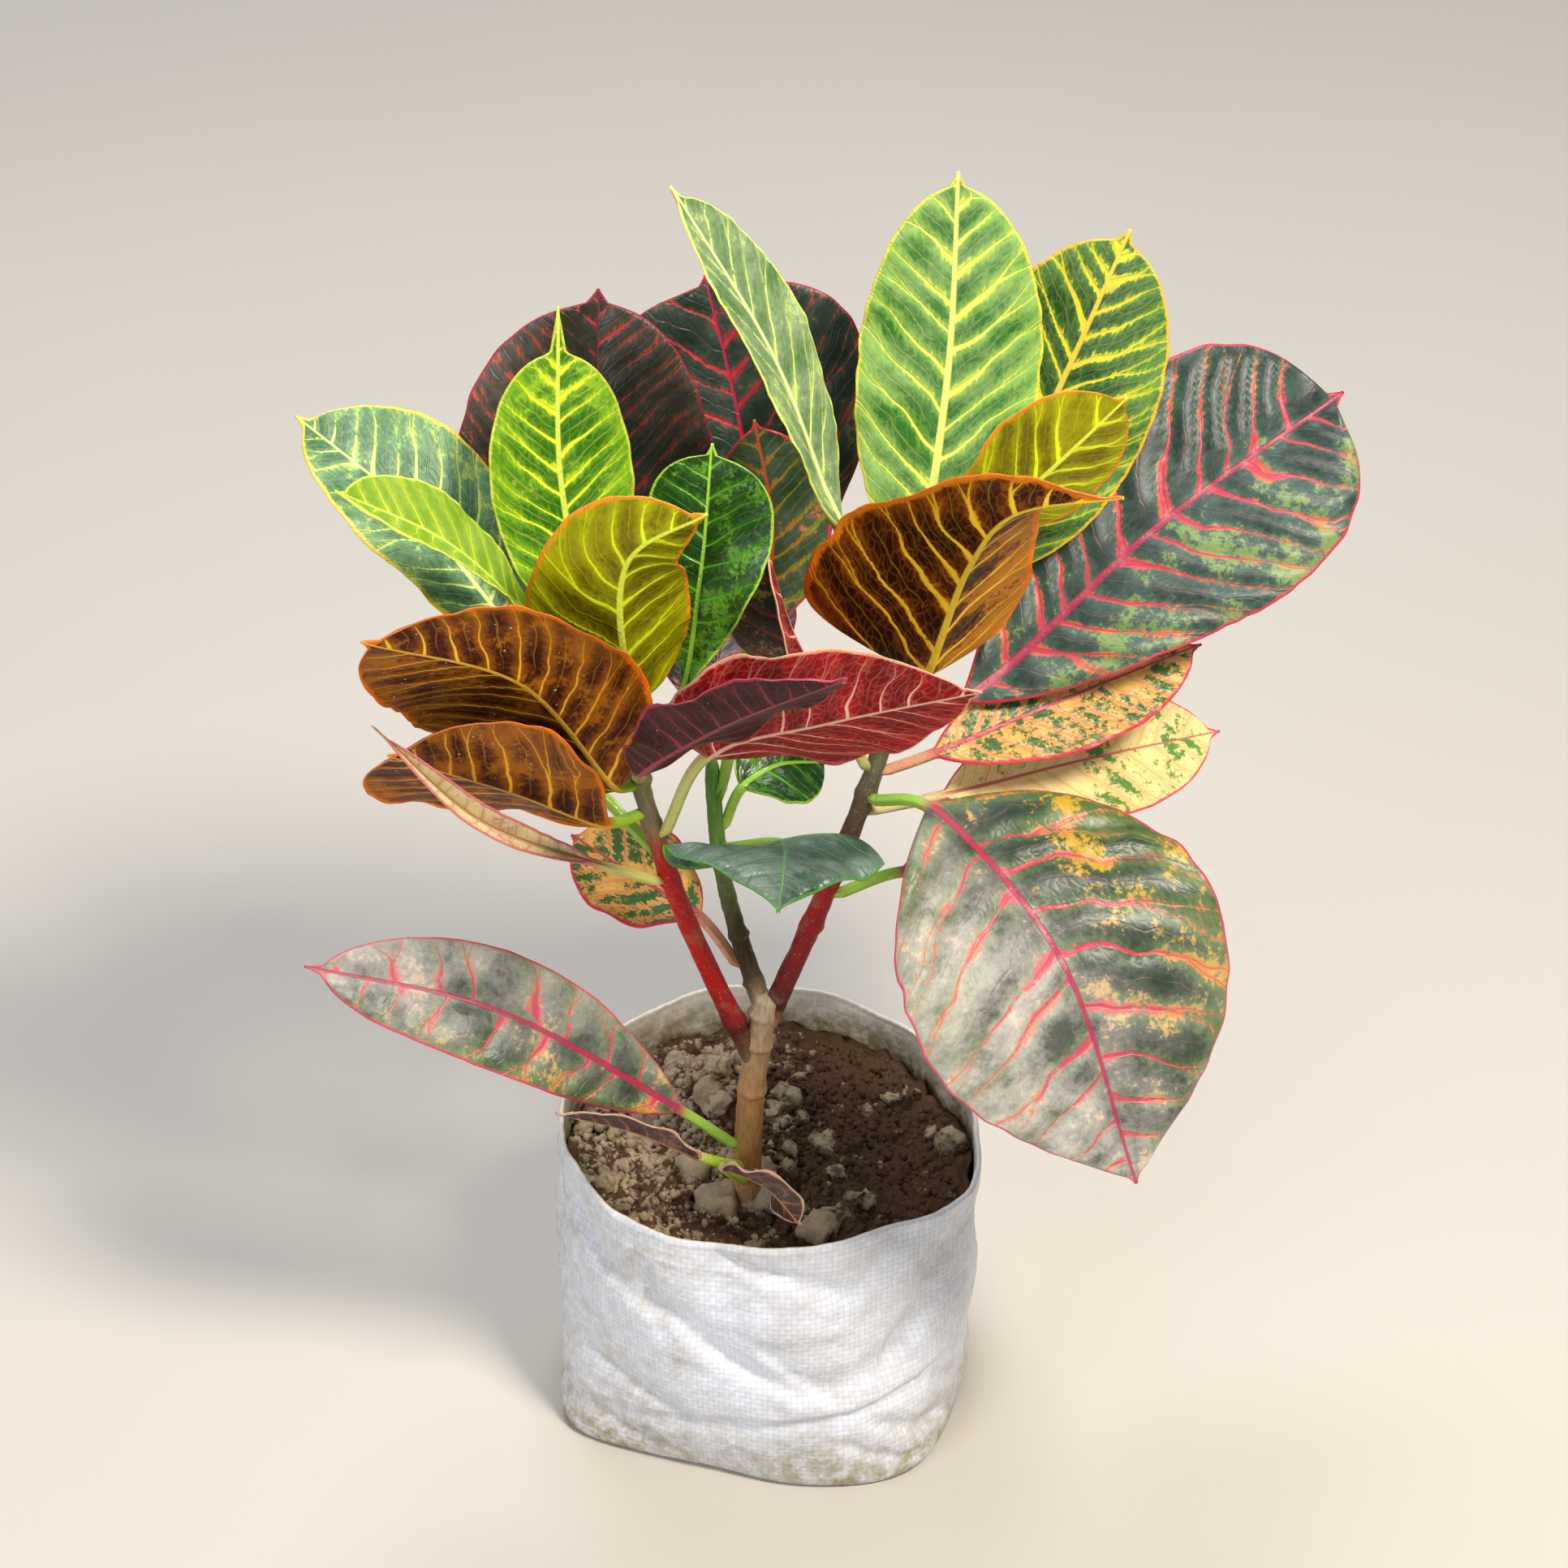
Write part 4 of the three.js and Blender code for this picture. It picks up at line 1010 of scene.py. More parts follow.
    def _ground(self, put: Put, on: Measures, veins: Veins) -> Mark:
        """Blend the two ground tones: the second gathers by the margin, on one half and beside the veins."""
        side = self.side
        cubed = put(MATH, {0: on.reach_out, 1: 3.0}, operation="POWER")
        tone = on.drift
        for mark, weight in ((on.edge, 0.5), (cubed, side.outward), (on.half, side.uneven * 0.2)):
            tone = put(MATH, {0: mark, 1: weight, 2: tone}, **TIMES_PLUS)
        beside = put(RANGE, {"Value": veins.reach, "From Min": self.look.spacing * 0.3, "From Max": 0.0,
                             "To Max": side.halo}, **SOFT)
        full = put(MATH, {0: tone, 1: beside}, operation="ADD")
        second = put(RANGE, {"Value": full, "From Min": 0.74, "From Max": 1.2})
        return put(MIX, {0: second, 6: linear(side.ground[0]), 7: linear(side.ground[1])}, **RGBA)


# ------------------------------------------------------------------------------------------ leaves


class Outline(Enum):
    """Blade outlines: the powers of both flanks, the share where the tip begins and its half width there."""

    OBOVATE = (0.95, 0.42, 0.965, 0.08)
    DRIPPING = (0.6, 0.46, 0.86, 0.12)
    SPOON = (1.5, 0.42, 0.96, 0.09)
    ELLIPTIC = (0.78, 0.6, 0.96, 0.09)
    BROAD = (0.9, 1.0, 0.99, 0.02)
    OVAL = (0.5, 0.5, 0.96, 0.09)
    OVATE = (0.45, 0.72, 0.96, 0.08)
    CORDATE = (0.4, 1.4, 0.99, 0.02)
    LANCE = (0.75, 0.85, 0.94, 0.08)

    def half_width(self, s: Array) -> Array:
        """Give half the width at shares of the length, as a share of the greatest half width.

        Args:
            s: Shares of the blade's length, 0 at the foot and 1 at the tip.

        Returns:
            One share for each place.
        """
        rise, fall, pointed, beak = self.value
        widest = rise / (rise + fall)
        body = np.minimum(s / pointed, 1)
        flank = (body / widest) ** rise * ((1 - body) / (1 - widest)) ** fall
        tip = beak * np.minimum(1, (1 - s) / (1 - pointed))
        return np.where(s < 0.5, flank, np.maximum(flank, tip))


@dataclass(frozen=True)
class Leaf:
    """One leaf: where it springs from, its midrib, its width and how it is folded, waved and skewed."""

    name: str
    on: str
    at: float
    rib: tuple[Triple, ...]
    width: float
    faces: tuple[tuple[float, float], tuple[float, float]]
    fold: float
    curl: float
    wave: float
    outline: Outline
    look: Look
    skew: float = 0.0  # share by which the right half is wider and the left half narrower


LEAVES = (
    Leaf("left_grey_green", "left", 0.9, ((-79, -25, 339), (-115, -8, 380), (-155, 10, 408)), 54,
         ((-50, 45), (-50, 45)), 8, 0, 3, Outline.ELLIPTIC, Look.GREY_GREEN, 0.18),
    Leaf("left_lime_narrow", "left", 1.0, ((-75, -35, 355), (-101, -54, 398), (-133, -78, 432)), 34,
         ((-5, 48), (-5, 48)), 20, 0, 1, Outline.ELLIPTIC, Look.LIME_PLAIN),
    Leaf("left_lime_upright", "left", 0.96, ((-57, -24, 345), (-67, -10, 394), (-67, 5, 452)), 48,
         ((-80, 25), (-80, 25)), 8, 0, 1, Outline.DRIPPING, Look.LIME),
    Leaf("left_olive_front", "left", 0.95, ((-45, -45, 331), (-43, -61, 397), (-18, -65, 416)), 55,
         ((102, -5), (92, 5)), 12, 2, 2, Outline.OVATE, Look.OLIVE_GOLD, 0.12),
    Leaf("left_brown_front", "left", 0.82, ((-50, -37, 292), (-80, -61, 350), (-127, -85, 381)), 82,
         ((95, 15), (80, 15)), 10, -2, 4, Outline.OVAL, Look.BROWN_GOLD, 0.18),
    Leaf("left_brown_low", "left", 0.74, ((-53, -36, 276), (-86, -52, 301), (-123, -68, 326)), 84,
         ((62, 12), (62, 5)), 8, -2, 3, Outline.OBOVATE, Look.BROWN_GOLD),
    Leaf("left_dark_low", "left", 0.8, ((-67, -22, 290), (-91, -18, 305), (-118, -16, 320)), 40,
         ((-60, 60), (-60, 60)), 8, 0, 2, Outline.ELLIPTIC, Look.GLOSSY_GREEN),
    Leaf("left_dry_rolled", "left", 0.56, ((-58, -40, 262), (-94, -61, 294), (-126, -82, 347)), 16,
         ((-70, 40), (-70, 40)), 55, 0, 1, Outline.LANCE, Look.DRY_CREAM),
    Leaf("left_dark_back", "left", 0.86, ((-48, 5, 323), (-57, 34, 377), (-56, 50, 434)), 88,
         ((-85, 30), (-85, 30)), 6, -2, 2, Outline.OVAL, Look.DARK_RED, -0.1),
    Leaf("left_green_glossy", "left", 0.98, ((-31, -35, 323), (-21, -39, 376), (-17, -28, 420)), 44,
         ((-125, 15), (-100, 15)), 12, 2, 4, Outline.SPOON, Look.GLOSSY_GREEN, 0.12),
    Leaf("left_maroon_front", "left", 0.84, ((-42, -52, 308), (-11, -96, 358), (25, -130, 397)), 46,
         ((90, 52), (90, 48)), 12, 0, 5, Outline.ELLIPTIC, Look.MAROON),
    Leaf("left_crimson_front", "left", 0.68, ((-19, -46, 311), (20, -68, 339), (69, -83, 361)), 72,
         ((100, 15), (100, 15)), 8, 2, 3, Outline.OVATE, Look.CRIMSON),
    Leaf("left_dark_rear", "left", 0.7, ((-52, 2, 290), (-66, 45, 316), (-80, 88, 322)), 60,
         ((-90, 60), (-90, 70)), 6, 0, 3, Outline.ELLIPTIC, Look.DARK_RED),
    Leaf("left_green_rear", "left", 0.62, ((-66, -6, 278), (-98, 20, 290), (-126, 44, 290)), 46,
         ((-60, 60), (-60, 70)), 6, 0, 2, Outline.ELLIPTIC, Look.GLOSSY_GREEN),
    Leaf("centre_dark_tall", "centre", 0.92, ((-6, 38, 312), (-8, 68, 362), (-21, 84, 421)), 96,
         ((-90, 30), (-90, 30)), 6, -2, 2, Outline.OBOVATE, Look.DARK_VEINED),
    Leaf("centre_green_back", "centre", 0.96, ((-3, 14, 320), (2, 22, 356), (-4, 32, 394)), 42,
         ((-80, 30), (-80, 30)), 8, 0, 2, Outline.ELLIPTIC, Look.RED_EDGED),
    Leaf("centre_green_small", "centre", 0.78, ((5, -22, 257), (6, -43, 263), (4, -63, 258)), 76,
         ((-80, 68), (-80, 68)), 0, -3, 3, Outline.CORDATE, Look.DUSTY_GREEN, 0.1),
    Leaf("centre_green_side", "centre", 0.84, ((-9, 16, 254), (3, 24, 258), (21, 32, 254)), 36,
         ((-60, 60), (-60, 60)), 8, 0, 1, Outline.ELLIPTIC, Look.GLOSSY_GREEN),
    Leaf("centre_pink_low", "centre", 0.26, ((-24, 2, 208), (-44, 12, 216), (-70, 24, 228)), 44,
         ((-60, 60), (-60, 60)), 8, 0, 2, Outline.ELLIPTIC, Look.CREAM_GREEN),
    Leaf("centre_dark_rear", "centre", 0.8, ((-20, 42, 266), (-16, 78, 280), (-10, 116, 284)), 52,
         ((-90, 65), (-90, 75)), 6, 0, 2, Outline.ELLIPTIC, Look.DARK_RED),
    Leaf("right_grey_narrow", "right", 0.96, ((24, -15, 380), (2, -12, 443), (-30, -5, 500)), 44,
         ((-18, 22), (-18, 22)), 14, 0, 1, Outline.ELLIPTIC, Look.GREY_NARROW),
    Leaf("right_red_folded", "right", 0.72, ((23, -20, 313), (9, -27, 346), (0, -24, 379)), 44,
         ((-150, 20), (-150, 20)), 35, 0, 1, Outline.ELLIPTIC, Look.CRIMSON),
    Leaf("right_lime_tall", "right", 1.0, ((53, 12, 354), (61, 32, 418), (63, 45, 480)), 62,
         ((-85, 30), (-85, 30)), 5, 0, 2, Outline.OVAL, Look.YELLOW_GREEN),
    Leaf("right_green_tall", "right", 0.97, ((70, 28, 340), (98, 48, 394), (122, 64, 449)), 68,
         ((-85, 35), (-85, 35)), 6, 0, 2, Outline.OVAL, Look.DEEP_YELLOW),
    Leaf("right_olive_small", "right", 1.0, ((66, -10, 372), (89, -8, 394), (118, 0, 421)), 54,
         ((110, 10), (110, 10)), 8, 0, 1, Outline.ELLIPTIC, Look.OLIVE_GOLD),
    Leaf("right_brown_front", "right", 0.98,
         ((53, -27, 331), (66, -47, 386), (79, -65, 416), (111, -80, 431)), 82,
         ((97, 30), (94, 28)), 26, 0, 2, Outline.CORDATE, Look.GOLD_NET, 0.2),
    Leaf("right_dark_large", "right", 0.86, ((66, 5, 298), (136, 45, 345), (200, 77, 379)), 92,
         ((-85, 45), (-85, 45)), 5, -2, 3, Outline.OBOVATE, Look.DARK_PATCHED),
    Leaf("right_cream_middle", "right", 0.72, ((57, -5, 283), (101, 14, 292), (152, 38, 300)), 40,
         ((-80, 50), (-80, 50)), 5, 0, 2, Outline.ELLIPTIC, Look.CREAM_GREEN),
    Leaf("right_cream_low", "right", 0.62, ((61, 0, 262), (110, 24, 260), (162, 50, 255)), 47,
         ((-85, 50), (-85, 50)), 5, 0, 3, Outline.ELLIPTIC, Look.CREAM_PALE),
    Leaf("right_dark_drooping", "right", 0.66, ((55, -28, 277), (97, -75, 251), (126, -100, 171)), 116,
         ((-70, 60), (-75, 10)), 5, -3, 4, Outline.BROAD, Look.DUSTY_SHEENED_RED),
    Leaf("right_dark_hidden", "right", 0.4, ((47, -12, 238), (72, -18, 240), (99, -26, 232)), 34,
         ((-80, 60), (-80, 50)), 6, 0, 1, Outline.ELLIPTIC, Look.DARK_RED),
    Leaf("right_dark_rear", "right", 0.74, ((50, 22, 298), (60, 62, 316), (68, 104, 320)), 56,
         ((-95, 60), (-95, 72)), 6, 0, 2, Outline.ELLIPTIC, Look.DARK_RED),
    Leaf("right_green_rear", "right", 0.9, ((62, 36, 322), (88, 72, 334), (112, 106, 340)), 50,
         ((-110, 60), (-110, 65)), 6, 0, 3, Outline.ELLIPTIC, Look.GLOSSY_GREEN),
    Leaf("trunk_dusty", "trunk", 0.44, ((-31, -26, 142), (-96, -38, 198), (-160, -40, 218)), 42,
         ((-80, 45), (-80, 45)), 6, 0, 2, Outline.ELLIPTIC, Look.DUSTY_SHEENED_RED),
    Leaf("trunk_brown_left", "trunk", 0.38, ((-24, -42, 134), (-47, -48, 151), (-74, -54, 164)), 28,
         ((80, 50), (80, 40)), 8, 0, 2, Outline.ELLIPTIC, Look.WITHERED),
    Leaf("trunk_brown_right", "trunk", 0.33, ((-15, -44, 131), (0, -55, 131), (12, -63, 120)), 24,
         ((80, 50), (80, 20)), 8, 0, 3, Outline.ELLIPTIC, Look.WITHERED),
)


@dataclass(frozen=True)
class Spine:
    """The rings of one leaf, from the petiole's foot to the blade's tip: their places and how they turn."""

    petiole: Array  # share of the petiole below each ring
    blade: Array  # share of the blade below each ring
    along: Array  # millimetres from the blade's foot, below zero on the petiole
    middle: Array
    side: Array  # unit vectors to the right half
    face: Array  # unit vectors out of the upper side
    to_tip: Array  # millimetres of blade from each ring to the tip


@dataclass
class Foliage:
    """All the leaves: each one skin of petiole and blade, fine enough to carry its waves and puckers."""

    rows: int = 104
    petiole_rows: int = 14
    columns: int = 36
    crowding: float = 1.4  # how closely the columns crowd at the margins, in radians
    edge: float = 0.4  # half the blade's thickness
    rib: float = 1.5  # how far the midrib stands out below
    stalk: float = 1.9  # radius of a petiole
    tip: float = 0.5  # half width of the tip
    sunk: float = 1.6  # how far a petiole's foot is sunk in the bark
    stray: float = 0.24  # how far a lateral vein strays, as a share of the spacing
    stray_size: float = 19.0  # length of a stray
    apart: float = 0.46  # shift of the right half's veins from the left's, as a share of the spacing
    right_from: int = 64  # added to the right half's count, so that no vein's number is on both halves
    own_step: float = 31.0  # keeps the leaves apart in the noises that follow a blade
    surfaces: dict[Look, tuple[Material, Material]] = field(default_factory=dict)

    def build(self) -> list[Piece]:
        """Build and dress every leaf.

        Returns:
            The leaves' objects, in the order of the list.
        """
        return [self._leaf(leaf, index) for index, leaf in enumerate(LEAVES)]

    def _dress(self, look: Look) -> tuple[Material, Material]:
        """Give a look's two materials, made at its first use."""
        if look not in self.surfaces:
            name, style = look.name.lower(), look.value
            self.surfaces[look] = (
                LeafSurface(f"croton_leaf_upper_{name}", style.upper, style).material(),
                LeafSurface(f"croton_leaf_under_{name}", style.under, style).material(),
            )
        return self.surfaces[look]

    def _leaf(self, leaf: Leaf, index: int) -> Piece:
        """Build one leaf.

        Args:
            leaf: The leaf's form.
            index: Its place in the list, which sets the phase of its waves.

        Returns:
            The leaf's object.
        """
        spine = self._spine(leaf)
        column = spine.blade[:, None]
        t = np.linspace(-1, 1, self.columns + 1)[None, :]
        half = self._half_width(leaf, index, spine)
        reach = half * (1 + leaf.skew * np.sign(t))
        x = reach * np.sin(t * self.crowding) / math.sin(self.crowding)
        left, right = self._counts(leaf.look.value, index, spine, x)
        swell = self._swell(leaf, index, spine, t, x, np.where(x > 0, right, left))

        fold = np.radians(leaf.fold) * spine.petiole[:, None]
        phase = index * 1.7 + np.where(t > 0, 1.3, 0)
        ripple = np.sin(6 * math.pi * column + phase) * np.minimum(1, column * 4) * (1 - column)
        lift = np.abs(x) * np.tan(fold) + leaf.curl * t * t * half * 2 / leaf.width
        ahead = x[..., None] * np.cos(fold)[..., None]
        up = (lift * np.cos(fold) + leaf.wave * t * t * ripple + swell)[..., None]
        at = spine.middle[:, None, :] + spine.side[:, None, :] * ahead + spine.face[:, None, :] * up
        near = bell(x, self.stalk)
        lean = (1 - near) * np.sign(x) * np.sin(fold)
        normal = unit(spine.face[:, None, :] - spine.side[:, None, :] * lean[..., None])
        above, below = self._thickness(column, t, near)
        top = at + normal * above[..., None]
        bottom = (at - normal * below[..., None])[:, ::-1]
        rings = np.concatenate([bottom, top], axis=1)
        piece = make_object(f"leaf_{leaf.name}", rings.reshape(-1, 3), skin_faces(*rings.shape[:2]))

        margin = np.minimum(reach - np.abs(x), spine.to_tip[:, None] * 1.5 + 0.3)
        self._measure(piece, index, spine, {"x": x, "margin": margin, "left": left, "right": right})
        for material in self._dress(leaf.look):
            piece.data.materials.append(material)
        under = np.tile(np.arange(rings.shape[1]) < self.columns, len(rings) - 1)
        piece.data.polygons.foreach_set("material_index", [*under.astype(int).tolist(), 1, 1])
        finish_piece(piece, f"leaf_{leaf.name}")
        return piece

    def _spine(self, leaf: Leaf) -> Spine:
        """Lay a leaf's rings along its course, which starts square to the shoot."""
        shoot = SHOOTS[leaf.on]
        bark = shoot.course.at(leaf.at)[0]
        tangent = shoot.course.heading(leaf.at)[0]
        out = np.array(leaf.rib[0], dtype=float) - bark
        out = unit(out - tangent * np.dot(out, tangent))
        socket = bark + out * (float(shoot.radius_at(leaf.at)) + 0.3)
        path = Ribbon([socket, *(np.array(p, dtype=float) for p in leaf.rib)])
        foot = path.share_of_span(1)

        rising = np.linspace(0, 1, self.petiole_rows, endpoint=False)
        petiole = np.concatenate([rising, np.ones(self.rows + 1)])
        blade = np.concatenate([np.zeros(self.petiole_rows), np.linspace(0, 1, self.rows + 1)])
        share = np.where(blade > 0, foot + (1 - foot) * blade, foot * petiole)
        heading = path.heading(share)
        heading[0] = out
        blend = blade[:, None]
        facing = self._heading_of(leaf.faces[0]) * (1 - blend) + self._heading_of(leaf.faces[1]) * blend
        face = unit(facing - heading * np.sum(facing * heading, axis=1, keepdims=True))
        middle = path.at(share)
        middle[0] -= out * self.sunk
        along = (share - foot) * path.length
        to_tip = (1 - blade) * path.length * (1 - foot)
        return Spine(petiole, blade, along, middle, np.cross(heading, face), face, to_tip)

    def _half_width(self, leaf: Leaf, index: int, spine: Spine) -> Array:
        """Give half the width at each ring, in one column: at least the petiole's, and a little uneven."""
        least = self.stalk + (self.tip - self.stalk) * np.minimum(1, spine.blade * 1.1)
        half = np.maximum(leaf.width / 2 * leaf.outline.half_width(spine.blade), least)
        nibble = np.array([noise.noise(Vector((place / 7, index * 5.3, 0))) for place in spine.along])
        return (half * (1 + 0.025 * nibble * np.minimum(1, spine.blade * 6)))[:, None]

    def _counts(self, look: LeafLook, index: int, spine: Spine, x: Array) -> tuple[Array, Array]:
        """Count the lateral veins up the left and the right half: each runs where its count is whole."""
        limb = np.abs(x)
        climbed = spine.along[:, None] - look.lean * limb - look.rise * limb**2
        counted = climbed / look.spacing + index * 0.37
        drift = np.array([
            [noise.fractal(Vector((px / self.stray_size, py / self.stray_size, index * 3.1)), 0.9, 2.6, 2)
             for px in row]
            for row, py in zip(x, spine.along)
        ])
        counted = counted + self.stray * drift
        left = self._laterals(counted, 2 * index)
        return left, self._laterals(counted + self.apart, 2 * index + 1) + self.right_from

    @staticmethod
    def _swell(leaf: Leaf, index: int, spine: Spine, t: Array, x: Array, count: Array) -> Array:
        """Give how far the blade swells between its veins and frills at its edge."""
        column = spine.blade[:, None]
        bulge = np.abs(np.sin(math.pi * count)) ** 0.7
        inner = smooth(1, 6, np.abs(x)) * (1 - smooth(0.6, 1, np.abs(t))) * smooth(0, 0.12, column)
        frill = np.array([noise.noise(Vector((place / 6, index * 2.3, 4))) for place in spine.along])[:, None]
        swell = leaf.look.value.pucker * bulge * inner * np.minimum(1, leaf.width / 60)
        return swell + 0.9 * frill * t**4 * np.minimum(1, column * 5)

    def _thickness(self, column: Array, t: Array, near: Array) -> tuple[Array, Array]:
        """Give the thickness above and below the middle surface, which is round on the petiole."""
        round_share = 1 - np.minimum(1, column * 8)
        stalk = self.stalk * np.sqrt(np.clip(1 - t**2, 0.01, 1)) * round_share
        thin = 1 - 0.6 * np.abs(t) ** 10
        above_rib = self.stalk + (self.edge - self.stalk) * np.minimum(1, column * 8)
        below_rib = np.where(column == 0, self.stalk, self.rib + (self.edge - self.rib) * column)
        above, below = (
            (self.edge + (rib - self.edge) * near) * thin * (1 - round_share) + stalk
            for rib in (above_rib, below_rib)
        )
        return above, below

    def _measure(
        self, piece: Piece, index: int, spine: Spine, values: Mapping[str, Array],
    ) -> None:
        """Store the two attributes that the leaf's materials read.

        Args:
            piece: The leaf's object.
            index: The leaf's place in the list.
            spine: Its rings.
            values: Millimetres across and in from the margin, and both counts of veins, by ring and column.
        """
        flat = {name: np.concatenate([rows[:, ::-1], rows], axis=1).ravel() for name, rows in values.items()}
        wide = self.columns + 1
        around, rows = 2 * wide, len(spine.blade)
        own = np.full(rows * around, index * self.own_step)
        store(piece, "blade", np.stack([flat["x"], spine.along.repeat(around), own], axis=-1))
        # The two halves meet at the rib with other counts, so the count is held by the faces' corners.
        corners = np.empty(len(piece.data.loops), dtype=int)
        piece.data.loops.foreach_get("vertex_index", corners)
        column_of = np.arange(around)
        on_right = (column_of < self.columns // 2) | (column_of >= wide + self.columns // 2)
        on_right = np.concatenate([np.tile(on_right, rows - 1).repeat(4), np.zeros(2 * around, dtype=bool)])
        count = np.where(on_right, flat["right"][corners], flat["left"][corners])
        share = spine.blade.repeat(around)[corners]
        store(piece, "veining", np.stack([count, flat["margin"][corners], share], axis=-1), "CORNER")

    @staticmethod
    def _laterals(counted: Array, seed: int) -> Array:
        """Space the lateral veins of one half unevenly: each runs where the result is a whole number."""
        veins = np.arange(math.floor(counted.min()) - 1, math.ceil(counted.max()) + 2)
        places = veins + np.random.default_rng(seed).uniform(-0.24, 0.24, len(veins))
        return np.interp(counted, places, veins)

    @staticmethod
    def _heading_of(direction: tuple[float, float]) -> Array:
        """Turn a turn and a climb in degrees into a unit vector."""
        a, e = math.radians(direction[0]), math.radians(direction[1])
        return np.array([math.cos(e) * math.cos(a), math.cos(e) * math.sin(a), math.sin(e)])


# ------------------------------------------------------------------------------------------ sack


@dataclass(frozen=True)
class Bulge:
    """A bulge or a dent in a band of the sack: where it is, how high and how wide, in degrees."""

    at: float
    by: float
    spread: float


@dataclass(frozen=True)
class Band:
    """One of the sack's three governing rings."""

    radius: float
    middle: tuple[float, float]
    bulges: tuple[Bulge, ...]

    def reach(self, angle: Array) -> Array:
        """Give the band's radius at angles in degrees."""
        total = np.full_like(angle, self.radius, dtype=float)
        for bulge in self.bulges:
            total += bulge.by * bell((angle - bulge.at + 180) % 360 - 180, bulge.spread)
        return total


@dataclass(frozen=True)
class Crease:
    """A crease in the cloth between two places, each an angle in degrees and a height in millimetres."""

    start: tuple[float, float]
    end: tuple[float, float]
    depth: float
    spread: float
    bow: float = 0.0  # millimetres that its middle sags below the straight line

    def dent(self, angle: Array, z: Array) -> Array:
        """Give the depth of the crease at places on the cloth.

        Args:
            angle: Angles in degrees.
            z: Heights in millimetres.

        Returns:
            Millimetres inwards at each place.
        """
        scale = 1.4  # millimetres of cloth to a degree
        ax, ay = self.start[0] * scale, self.start[1]
        bx, by = self.end[0] * scale, self.end[1]
        px = ((angle + 180) % 360 - 180) * scale
        length = math.hypot(bx - ax, by - ay)
        ux, uy = (bx - ax) / length, (by - ay) / length
        along = ((px - ax) * ux + (z - ay) * uy) / length
        off = (px - ax) * -uy + (z - ay) * ux
        off = off + self.bow * 4 * along * (1 - along) * (1 if ux > 0 else -1)
        fade = smooth(-0.12, 0.18, along) * smooth(1.12, 0.82, along)
        # One flank of a crease in stiff woven tape is steep and the other one long.
        flank = np.where(off > 0, self.spread, self.spread * 0.45)
        return self.depth * fade * np.exp(-((off / flank) ** 2))


